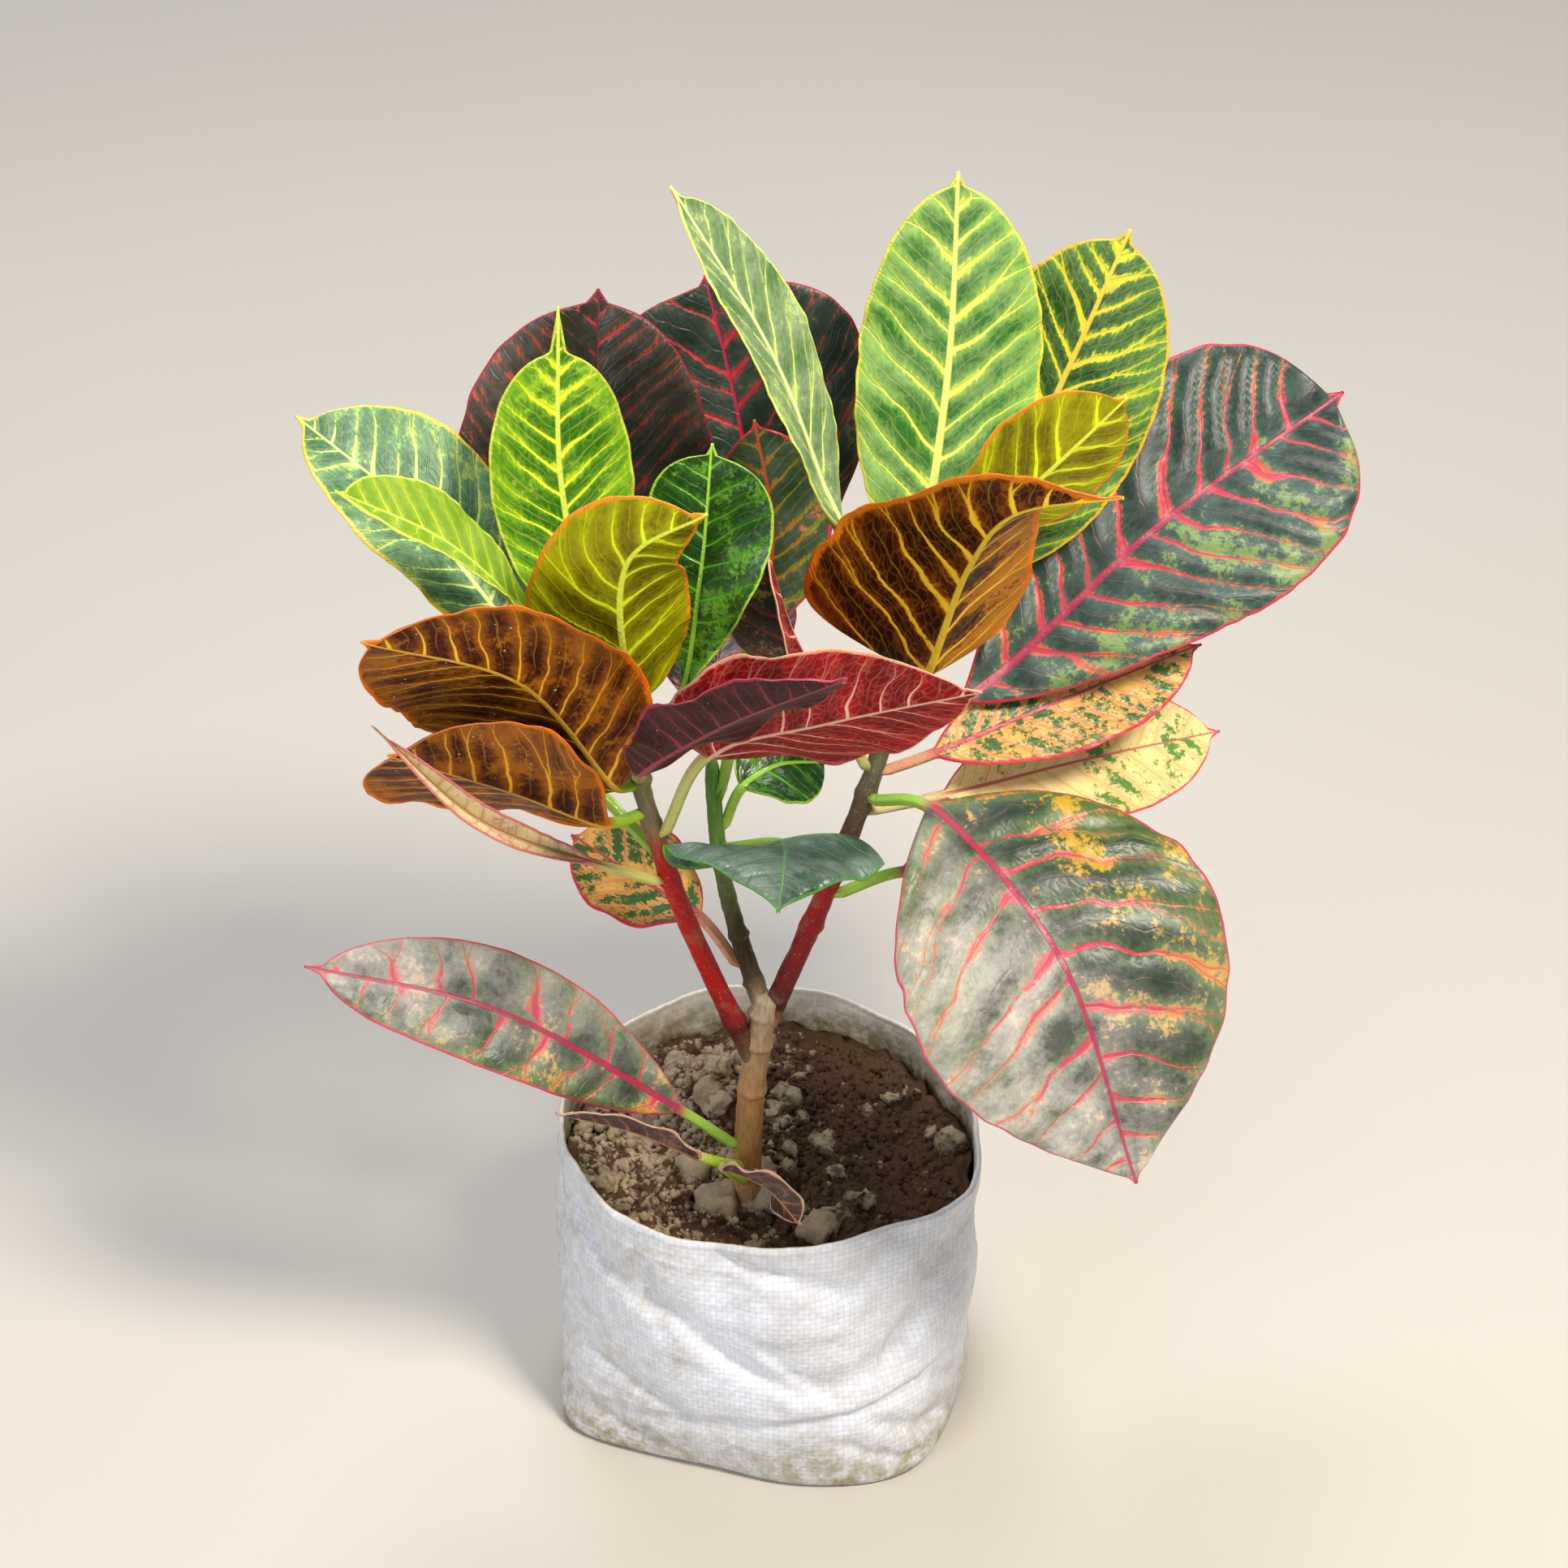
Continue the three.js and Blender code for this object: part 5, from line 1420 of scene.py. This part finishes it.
@dataclass
class Sack:
    """The white grow sack of woven plastic tape: a sagging shell with pinched corners, creases and a hem."""

    height: float = 112.0
    wall: float = 1.2
    sectors: int = 300
    rows: int = 96
    slack: float = 1.2
    tape: float = 2.2  # width of one woven tape
    girth: float = 2 * math.pi * 79.0  # length of cloth once round
    hem: float = 13.0  # depth of the folded hem
    hem_edge: float = 11.4  # where its fold has reached its full thickness
    foot: Band = Band(75, (0, 0), (Bulge(-153, 10, 15), Bulge(-50, 9, 20), Bulge(-108, -9, 24)))
    belly: Band = Band(80, (0, 2), (Bulge(-105, -3, 30),))
    rim: Band = Band(77, (0, 11), (Bulge(-30, 7, 16), Bulge(30, -4, 20), Bulge(-104, -3, 9)))
    creases: tuple[Crease, ...] = (
        Crease((-106, 111), (-84, 95), 2.6, 4, 2),
        Crease((-92, 102), (-64, 86), 3.4, 6),
        Crease((-158, 98), (-112, 74), 3.2, 9, 4),
        Crease((-118, 76), (-78, 46), 3.6, 7, 5),
        Crease((-92, 66), (-70, 40), 2.6, 6),
        Crease((-76, 48), (-38, 74), 3.0, 9, 6),
        Crease((-152, 46), (-112, 26), 2.4, 5),
        Crease((-34, 104), (-58, 48), 2.2, 6),
        Crease((-62, 30), (-34, 14), 3.2, 5, 3),
        Crease((-70, 22), (-46, 6), 2.0, 3, 2),
        Crease((-44, 40), (-28, 24), 2.2, 4),
        Crease((-146, 16), (-120, 8), 2.0, 4),
        Crease((-130, 96), (-118, 60), 1.8, 6),
        Crease((-172, 100), (-166, 20), 2.6, 6),
        Crease((176, 84), (-176, 14), 2.2, 5),
        Crease((20, 100), (60, 30), 2.6, 8, 5),
        Crease((110, 96), (70, 44), 2.4, 7, 4),
        Crease((140, 60), (160, 12), 2.4, 6),
        Crease((-12, 90), (10, 20), 2.2, 7),
    )

    def cloth(self, z: Array, angle: Array, inside: float = 0.0) -> Array:
        """Give points of the cloth.

        Args:
            z: Heights in millimetres.
            angle: Angles in degrees.
            inside: Millimetres in from the outer face.

        Returns:
            Points with x, y, z on the last axis.
        """
        z, angle = np.broadcast_arrays(np.asarray(z, dtype=float), np.asarray(angle, dtype=float))
        share = z / self.height
        weights = ((1 - share) ** 2, 2 * share * (1 - share), share**2)
        bands = (self.foot, self.belly, self.rim)
        slack = self.slack * 4 * share * (1 - share)
        fold = slack * np.sin(np.radians(3 * angle) + z / 16) * np.sin(np.radians(5 * angle) - z / 23)
        radius = sum(w * band.reach(angle) for w, band in zip(weights, bands)) + fold - inside
        x = sum(w * band.middle[0] for w, band in zip(weights, bands))
        y = sum(w * band.middle[1] for w, band in zip(weights, bands))
        turn = np.radians(angle)
        return np.stack([x + radius * np.cos(turn), y + radius * np.sin(turn), z], axis=-1)

    def crumple(self, z: Array, angle: Array) -> Array:
        """Give how far the cloth is pressed in by its creases and small wrinkles."""
        pressed = sum(crease.dent(angle, z) for crease in self.creases)
        wrinkles = np.empty_like(angle)
        for place in np.ndindex(angle.shape):
            turn = math.radians(angle[place])
            spot = Vector((math.cos(turn) * 3.4, math.sin(turn) * 3.4, z[place] / 15))
            wrinkles[place] = noise.fractal(spot, 0.8, 2.2, 4)
        pressed = pressed * smooth(0, 10, z) * smooth(self.height + 1, self.height - 9, z)
        return pressed + wrinkles * smooth(0, 14, z)

    def build(self) -> Piece:
        """Build the shell, its hem and its closed floor, and dress it.

        Returns:
            The sack's object.
        """
        angles = np.arange(self.sectors) / self.sectors * 360 + 90
        heights = np.concatenate([[0.0, 0.6, 1.6, 3.2], np.linspace(5, self.height, self.rows)])
        z, angle = np.meshgrid(heights, angles, indexing="ij")
        # The lowest centimetre is rounded under by the weight of the soil.
        under = 3.5 * (1 - np.sqrt(np.clip(1 - ((5 - np.minimum(z, 5)) / 5) ** 2, 0, 1)))
        folded = smooth(self.height - self.hem, self.height - self.hem_edge, z)
        roll = 0.5 * bell(z - self.height + 1.2, 1.4) + 0.35 * folded
        outer = self.cloth(z, angle)
        inward = unit((self.cloth(z, angle, inside=60.0) - outer) * np.array([1, 1, 0]))
        outer = outer + inward * (self.crumple(z, angle) + under - roll)[..., None]
        wave = 1.3 * np.sin(np.radians(4 * angle + 40)) + 0.7 * np.sin(np.radians(11 * angle))
        outer[..., 2] += (wave - 2.2) * smooth(70, self.height, z)
        thick = self.wall + 0.5 * folded
        inner = (outer + inward * thick[..., None])[::-1]
        inner[..., 2] = np.maximum(inner[..., 2], 1.6)
        lip = (outer[-1] + inner[0]) / 2
        lip[:, 2] += 0.35
        rings = np.concatenate([outer, lip[None], inner])
        piece = make_object("grow_sack", rings.reshape(-1, 3), skin_faces(*rings.shape[:2]))
        self._lay_tapes(piece, rings, angles)
        piece.data.materials.append(SackFinish(self.tape).material())
        finish_piece(piece, "bag")
        return piece

    def _lay_tapes(self, piece: Piece, rings: Array, angles: Array) -> None:
        """Store the cloth's own measure, in metres round and up, as the piece's UV map, and its side.

        Args:
            piece: The sack's object.
            rings: Its rings of points.
            angles: The angle of each point of a ring.
        """
        rows, around = rings.shape[:2]
        ups = np.linalg.norm(np.diff(rings, axis=0), axis=-1).mean(axis=1)
        height = np.concatenate([[0], np.cumsum(ups)])
        count = 2 * round(self.girth / self.tape / 2)  # even, so that the weave closes round the sack
        uv = piece.data.uv_layers.new(name="cloth")
        across = np.arange(around + 1) / around * count * self.tape * MM
        corners = np.zeros((len(piece.data.loops), 2), dtype=np.float32)
        quads = (rows - 1) * around
        i, j = np.divmod(np.arange(quads), around)
        for corner, (di, dj) in enumerate(((0, 0), (0, 1), (1, 1), (1, 0))):
            corners[np.arange(quads) * 4 + corner, 0] = across[j + dj]
            corners[np.arange(quads) * 4 + corner, 1] = height[i + di] * MM
        uv.data.foreach_set("uv", corners.ravel())
        inside = np.zeros(rows)
        inside[rows // 2 :] = 1
        turn = np.radians(angles)
        place = np.stack([
            np.repeat(inside, around),
            np.tile(np.cos(turn), rows),
            np.tile(np.sin(turn), rows),
        ], axis=-1)
        store(piece, "cloth_side", place)


@dataclass(frozen=True)
class SackFinish:
    """Woven polypropylene tape: bluish white and glossy, stained with earth and algae where it is wet."""

    tape: float  # width of one woven tape, in millimetres

    def material(self) -> Material:
        """Build the sack's material.

        Returns:
            The material. The weave follows the cloth's own UV map, and the stains the object.
        """
        material, put = new_material("woven_polypropylene_tape")
        uv = put("ShaderNodeUVMap", uv_map="cloth")
        tapes = put(VECTOR_MATH, {0: uv, "Scale": 1 / (self.tape * MM)}, operation="SCALE")
        split = put(SPLIT, {0: tapes})
        place = put("ShaderNodeTexCoord").outputs["Object"]
        spot_x, _, spot_z = put(SPLIT, {0: place}).outputs
        inside = put(SPLIT, {0: put(ATTRIBUTE, attribute_name="cloth_side").outputs["Vector"]})

        # Plain weave: over and under change places from one tape to the next.
        checker = put("ShaderNodeTexChecker", {"Vector": tapes, "Scale": 1.0, "Color1": (1, 1, 1, 1),
                                               "Color2": (0, 0, 0, 1)})
        profiles = []
        for axis in ("X", "Y"):
            part = put(MATH, {0: split.outputs[axis]}, operation="FRACT")
            angle = put(MATH, {0: part, 1: math.pi}, **TIMES)
            arch = put(MATH, {0: angle}, operation="SINE")
            profiles.append(put(MATH, {0: arch, 1: 0.4}, operation="POWER"))
        weave = put(MIX, {0: checker, 2: profiles[0], 3: profiles[1]}, data_type="FLOAT")
        shared = put(MATH, {0: profiles[0], 1: profiles[1]}, **TIMES)
        # Low in the grooves where the tapes part: this mask paints shade into the grooves.
        tape_middles = put(RANGE, {"Value": shared, "From Min": 0.15, "From Max": 0.55})

        # No two tapes are quite the same white.
        whole = put(VECTOR_MATH, {0: tapes}, operation="FLOOR")
        single = put("ShaderNodeTexWhiteNoise", {"Vector": whole}, noise_dimensions="2D")
        cloud = put(NOISE, {"Vector": place, "Scale": 38.0, "Detail": 5.0, "Roughness": 0.6})
        fine = put(NOISE, {"Vector": place, "Scale": 190.0, "Detail": 5.0, "Roughness": 0.7})
        white = put(MIX, {0: single, 6: linear("#dde1ec"), 7: linear("#ebeef6")}, **RGBA)

        # Earth washed up from the ground, and stains on the left side: heights are in metres here.
        low = put(RANGE, {"Value": spot_z, "From Min": 0.032, "From Max": 0.0, "To Max": 0.6})
        left = put(RANGE, {"Value": spot_x, "From Min": -0.02, "From Max": -0.085, "To Max": 0.36})
        mottled = put(RANGE, {"Value": cloud, "From Min": 0.42, "From Max": 0.7, "To Max": 0.34})
        sum_low = put(MATH, {0: low, 1: left}, operation="ADD")
        sum_all = put(MATH, {0: sum_low, 1: mottled}, operation="ADD")
        grain = put(RANGE, {"Value": fine, "From Min": 0.35, "From Max": 0.62, "To Min": 0.3, "To Max": 1.25})
        stain = put(MATH, {0: sum_all, 1: grain}, operation="MULTIPLY", use_clamp=True)
        green = put(MIX, {0: cloud, 6: linear("#a08a62"), 7: linear("#8f8c5c")}, **RGBA)

        # The inner face above the soil is brown and green where water has stood.
        wet = put(RANGE, {"Value": spot_z, "From Min": 0.11, "From Max": 0.094, "To Max": 1.0})
        soaked = put(MATH, {0: wet, 1: inside}, **TIMES)
        soaked_grain = put(MATH, {0: soaked, 1: grain}, operation="MULTIPLY", use_clamp=True)

        # The grooves between the tapes are painted a darker bluish grey: painted shade.
        groove_shaded_white = put(MIX, {0: tape_middles, 6: linear("#ced1da"), 7: white}, **RGBA)
        soiled = put(MIX, {0: stain, 6: groove_shaded_white, 7: green}, **RGBA)
        within = put(MATH, {0: inside, 1: 0.55}, **TIMES)
        creamy = put(MIX, {0: within, 6: soiled, 7: linear("#e6d8b4")}, **RGBA)
        colour = put(MIX, {0: soaked_grain, 6: creamy, 7: linear("#8c7c50")}, **RGBA)

        tape_bump = put(BUMP, {"Strength": 0.4, "Distance": 0.0003, "Height": weave})
        crumple = put(BUMP, {"Strength": 0.4, "Distance": 0.0012, "Height": fine, "Normal": tape_bump})
        close(put, colour, 0.5, crumple, 0.45)
        return material


# ------------------------------------------------------------------------------------------ soil


@dataclass
class Soil:
    """The potting soil: a crumbly surface with a heap behind the stem, strewn with crumbs and dry clods."""

    sack: Sack
    level: float = 92.0
    heap: Triple = (-20.0, 42.0, 9.0)  # where the heap is, and how high
    heap_spread: float = 26.0
    rings: int = 84
    sectors: int = 200
    clear: float = 1.7  # millimetres that the soil keeps from the outer face of the cloth

    def height_at(self, x: float, y: float) -> float:
        """Give the height of the soil at a place.

        Args:
            x: Millimetres to the right.
            y: Millimetres to the back.

        Returns:
            The height in millimetres.
        """
        swell = 1.6 * math.sin(x / 11 + 1) * math.cos(y / 13)
        heap = self.heap[2] * float(bell(math.hypot(x - self.heap[0], y - self.heap[1]), self.heap_spread))
        lump = noise.fractal(Vector((x / 15, y / 15, 3.7)), 0.7, 2.2, 3)
        crumb = noise.fractal(Vector((x / 4.8, y / 4.8, 9.1)), 0.45, 2.1, 4)
        pit = 3.0 * float(bell(math.hypot(x + 9, y + 20), 9))  # where the trunk goes in
        return self.level + 1.6 + swell + heap + 2.6 * lump + 2.5 * crumb - pit

    def build(self) -> list[Piece]:
        """Build the ground, the crumbs and the clods.

        Returns:
            The soil's objects.
        """
        ground = self._ground()
        ground_material = SoilFinish(dry=0.0).material()
        ground.data.materials.append(ground_material)
        finish_piece(ground, "soil")
        pieces = [ground]
        strewn = (
            ("soil_crumbs", 6500, 0.6, 2.3, 1, 11, SoilFinish(dry=0.45)),
            ("soil_clods", 95, 2.8, 9.5, 3, 5, SoilFinish(dry=1.0)),
        )
        for name, count, smallest, largest, detail, seed, finish in strewn:
            piece = Scatter(count, smallest, largest, detail, seed).over(ground, name, finish.material())
            finish_piece(piece, "soil")
            pieces.append(piece)
        return pieces

    def _ground(self) -> Piece:
        """Build the soil as one closed body, finest on top."""
        angles = np.arange(self.sectors) / self.sectors * 360
        # The edge follows the cloth's creases, and its flank falls away from them.
        levels, turns = np.meshgrid(self.level + np.arange(-8.0, 12.0, 3.0), angles, indexing="ij")
        pressed = self.clear + self.sack.crumple(levels, turns).max(axis=0)
        edge = self.sack.cloth(self.level, angles, pressed)
        middle = edge[:, :2].mean(axis=0)
        below = ((30.0, 9.0), (self.level - 8, 7.0))  # heights, and how far in from the edge
        rows = [self.sack.cloth(z, angles, pressed + step) for z, step in below]
        ring_shares = np.linspace(1, 0.012, self.rings)
        for share in ring_shares:
            row = np.empty((self.sectors, 3))
            row[:, :2] = middle + (edge[:, :2] - middle) * share
            row[:, 2] = [self.height_at(px, py) for px, py in row[:, :2]]
            rows.append(row)
        points = np.concatenate(rows)
        piece = make_object("soil_ground", points, skin_faces(len(rows), self.sectors))
        # Clods lie thickest behind and to the left of the stem, and stay off the cloth.
        shares = np.concatenate([[1.2, 1.1], ring_shares]).repeat(self.sectors)
        heaped = bell(np.hypot(points[:, 0] + 22, points[:, 1] - 26), 42.0)
        strewn = smooth(0.97, 0.9, shares) * (0.25 + 0.75 * heaped)
        store(piece, "strewn", np.stack([strewn, heaped, shares], axis=-1))
        return piece


@dataclass(frozen=True)
class Scatter:
    """Crumbs strewn over the soil by Geometry Nodes: how many, their radii, fineness and seed."""

    count: int
    smallest: float
    largest: float
    detail: int
    seed: int

    def over(self, ground: Piece, name: str, material: Material) -> Piece:
        """Strew crumbs over a ground and return them as a plain mesh.

        Args:
            ground: The soil's object, with its `strewn` attribute.
            name: The new object's name.
            material: The crumbs' material.

        Returns:
            An object at the origin that holds only the crumbs.
        """
        carrier = bpy.data.objects.new(name, ground.data.copy())
        bpy.context.scene.collection.objects.link(carrier)
        modifier = carrier.modifiers.new("crumbs", "NODES")
        modifier.node_group = self._tree(material)
        area = 0.0175  # square metres of soil that carry crumbs
        values = {
            "Density": self.count / area,
            "Smallest": self.smallest * MM,
            "Largest": self.largest * MM,
            "Seed": self.seed,
        }
        for item in modifier.node_group.interface.items_tree:
            if item.item_type == "SOCKET" and item.in_out == "INPUT" and item.name in values:
                modifier[item.identifier] = values[item.name]
        evaluated = carrier.evaluated_get(bpy.context.evaluated_depsgraph_get())
        mesh = bpy.data.meshes.new_from_object(evaluated)
        carrier.modifiers.remove(modifier)
        old, carrier.data = carrier.data, mesh
        bpy.data.meshes.remove(old)
        mesh.name = name
        mesh.polygons.foreach_set("use_smooth", [True] * len(mesh.polygons))
        return carrier

    def _tree(self, material: Material) -> bpy.types.NodeTree:
        """Build the tree that strews, sizes, turns and roughens the crumbs."""
        tree = bpy.data.node_groups.new("strewn_crumbs", "GeometryNodeTree")
        tree.interface.new_socket("Geometry", in_out="INPUT", socket_type="NodeSocketGeometry")
        for label in ("Density", "Smallest", "Largest"):
            tree.interface.new_socket(label, in_out="INPUT", socket_type="NodeSocketFloat")
        tree.interface.new_socket("Seed", in_out="INPUT", socket_type="NodeSocketInt")
        tree.interface.new_socket("Geometry", in_out="OUTPUT", socket_type="NodeSocketGeometry")
        put = partial(add, tree)
        given = put("NodeGroupInput").outputs
        strewn = put("GeometryNodeInputNamedAttribute", {"Name": "strewn"}, data_type="FLOAT_VECTOR")
        split = put(SPLIT, {0: strewn.outputs["Attribute"]})
        density = put(MATH, {0: split, 1: given["Density"]}, **TIMES)
        places = put("GeometryNodeDistributePointsOnFaces",
                     {"Mesh": given["Geometry"], "Density": density, "Seed": given["Seed"]})
        size = put("FunctionNodeRandomValue", {"Min": 0.0, "Max": 1.0, "Seed": given["Seed"]},
                   data_type="FLOAT")
        steep = put(MATH, {0: size, 1: 3.0}, operation="POWER")
        radius = put(RANGE, {"Value": steep, "To Min": given["Smallest"], "To Max": given["Largest"]})
        turn = put("FunctionNodeRandomValue", {"Min": (0.0, 0.0, 0.0), "Max": (6.28, 6.28, 6.28),
                                               "Seed": given["Seed"]}, data_type="FLOAT_VECTOR")
        crumb = put("GeometryNodeMeshIcoSphere", {"Radius": 1.0, "Subdivisions": self.detail})
        placed = put("GeometryNodeInstanceOnPoints",
                     {"Points": places.outputs["Points"], "Instance": crumb, "Rotation": turn,
                      "Scale": radius})
        real = put("GeometryNodeRealizeInstances", {"Geometry": placed})
        # Each crumb is dented by noise at about its own size, so none stays round.
        place = put("GeometryNodeInputPosition")
        dent = put(NOISE, {"Vector": place, "Scale": 1.5 / (self.largest * MM), "Detail": 4.0,
                           "Roughness": 0.68})
        centred = put(VECTOR_MATH, {0: dent.outputs["Color"], 1: (0.5, 0.5, 0.5)}, operation="SUBTRACT")
        offset = put(VECTOR_MATH, {0: centred, "Scale": 1.4 * self.largest * MM}, operation="SCALE")
        dented = put("GeometryNodeSetPosition", {"Geometry": real, "Offset": offset})
        dressed = put("GeometryNodeSetMaterial", {"Geometry": dented, "Material": material})
        put("NodeGroupOutput", {"Geometry": dressed})
        return tree


@dataclass(frozen=True)
class SoilFinish:
    """Garden soil with compost: dark brown where moist, pale grey-tan where it has dried in clods."""

    dry: float  # share of the surface that has dried pale

    def material(self) -> Material:
        """Build the soil's material.

        Returns:
            The material, on Object coordinates in metres.
        """
        material, put = new_material(f"garden_soil_{round(self.dry * 100)}")
        place = put("ShaderNodeTexCoord").outputs["Object"]
        grains = put(NOISE, {"Vector": place, "Scale": 700.0, "Detail": 6.0, "Roughness": 0.75})
        lumps = put(NOISE, {"Vector": place, "Scale": 95.0, "Detail": 4.0, "Roughness": 0.6})
        spot = put(SPLIT, {0: place})
        # The soil is paler towards the left and darker towards the right.
        lit = put(RANGE, {"Value": spot, "From Min": 0.03, "From Max": -0.05, "To Min": -0.14, "To Max": 0.1})
        mixed = put(MATH, {0: lumps, 1: lit}, operation="ADD")
        pale = put(RANGE, {"Value": mixed, "From Min": 0.6 - 0.34 * self.dry,
                           "From Max": 0.74 - 0.34 * self.dry}, **SOFT)
        dark = put(MIX, {0: grains, 6: linear("#2d1e10"), 7: linear("#765840")}, **RGBA)
        light = put(MIX, {0: grains, 6: linear("#86704f"), 7: linear("#d8c6a6")}, **RGBA)
        colour = put(MIX, {0: pale, 6: dark, 7: light}, **RGBA)
        bump = put(BUMP, {"Strength": 0.8, "Distance": 0.0012, "Height": grains})
        close(put, colour, 0.92, bump, 0.2)
        return material


# ------------------------------------------------------------------------------------------ studio


@dataclass(frozen=True)
class Lamp:
    """One soft lamp: where it hangs, how large and strong it is, and its colour. Lengths are in metres."""

    name: str
    place: Triple
    size: float
    power: float
    colour: str


@dataclass
class Studio:
    """The pale floor, the soft lamps and the camera at the plant's viewing angle, in metres."""

    target: Triple = (0.006, -0.020, 0.281)
    distance: float = 1.440
    down: float = 35.0  # degrees that the camera looks down
    focal_pixels: float = 5200.0
    image_pixels: float = 1932.0
    lamps: tuple[Lamp, ...] = (
        Lamp("key", (0.75, -0.75, 1.75), 0.45, 40.0, "#fff6e8"),
        Lamp("fill", (-1.3, -1.3, 0.9), 1.2, 15.0, "#eef3ff"),
        Lamp("sky", (-0.2, 0.8, 1.9), 0.9, 22.0, "#f4f8ff"),
    )

    def build(self) -> None:
        """Build the floor, the lamps, the world and the camera."""
        self._floor()
        for lamp in self.lamps:
            self._lamp(lamp)
        world = bpy.data.worlds.new("studio")
        world.use_nodes = True
        world.node_tree.nodes.clear()
        sky = add(world.node_tree, "ShaderNodeBackground", {"Color": linear("#e6e9ee"), "Strength": 0.36})
        add(world.node_tree, "ShaderNodeOutputWorld", {"Surface": sky})
        scene = bpy.context.scene
        scene.world = world
        scene.view_settings.view_transform = "Standard"
        self._camera()

    def _floor(self) -> None:
        """Build the floor as one large pale plane with a faint mottle."""
        reach = 4000.0
        corners = np.array([(-reach, -reach, 0), (reach, -reach, 0), (reach, reach, 0), (-reach, reach, 0)])
        floor = make_object("studio_floor", corners, [(0, 1, 2, 3)])
        material, put = new_material("studio_paper")
        place = put("ShaderNodeTexCoord").outputs["Object"]
        mottle = put(NOISE, {"Vector": place, "Scale": 3.0, "Detail": 3.0})
        colour = put(MIX, {0: mottle, 6: linear("#c4beb4"), 7: linear("#cac4ba")}, **RGBA)
        shader = put("ShaderNodeBsdfPrincipled", {"Base Color": colour, "Roughness": 0.9})
        put("ShaderNodeOutputMaterial", {"Surface": shader})
        floor.data.materials.append(material)

    def _lamp(self, lamp: Lamp) -> None:
        """Hang one area lamp, aimed at the plant."""
        light = bpy.data.lights.new(lamp.name, "AREA")
        light.shape = "DISK"
        light.size = lamp.size
        light.energy = lamp.power
        light.color = linear(lamp.colour)[:3]
        holder = bpy.data.objects.new(lamp.name, light)
        self._aim(holder, Vector(lamp.place), Vector(self.target) - Vector(lamp.place))

    def _camera(self) -> None:
        """Place the camera."""
        down = math.radians(self.down)
        back = Vector((0, -math.cos(down), math.sin(down)))
        camera = bpy.data.cameras.new("camera")
        camera.sensor_width = 36.0
        camera.lens = 36.0 * self.focal_pixels / self.image_pixels
        camera.clip_start = 0.05
        holder = bpy.data.objects.new("camera", camera)
        self._aim(holder, Vector(self.target) + back * self.distance, -back)
        bpy.context.scene.camera = holder

    @staticmethod
    def _aim(holder: Piece, place: Vector, heading: Vector) -> None:
        """Put a lamp or the camera in its place, looking along its heading."""
        turn = heading.to_track_quat("-Z", "Y").to_matrix().to_4x4()
        holder.matrix_world = Matrix.Translation(place) @ turn
        bpy.context.scene.collection.objects.link(holder)


# ------------------------------------------------------------------------------------------ the plant


def main() -> None:
    """Build the studio, the sack, the soil, the stem and the leaves."""
    logging.basicConfig(level=logging.INFO, format="%(name)s %(message)s")
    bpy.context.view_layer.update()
    Studio().build()
    sack = Sack()
    sack.build()
    Soil(sack).build()
    Stem().build()
    Foliage().build()


if __name__ == "__main__":
    main()
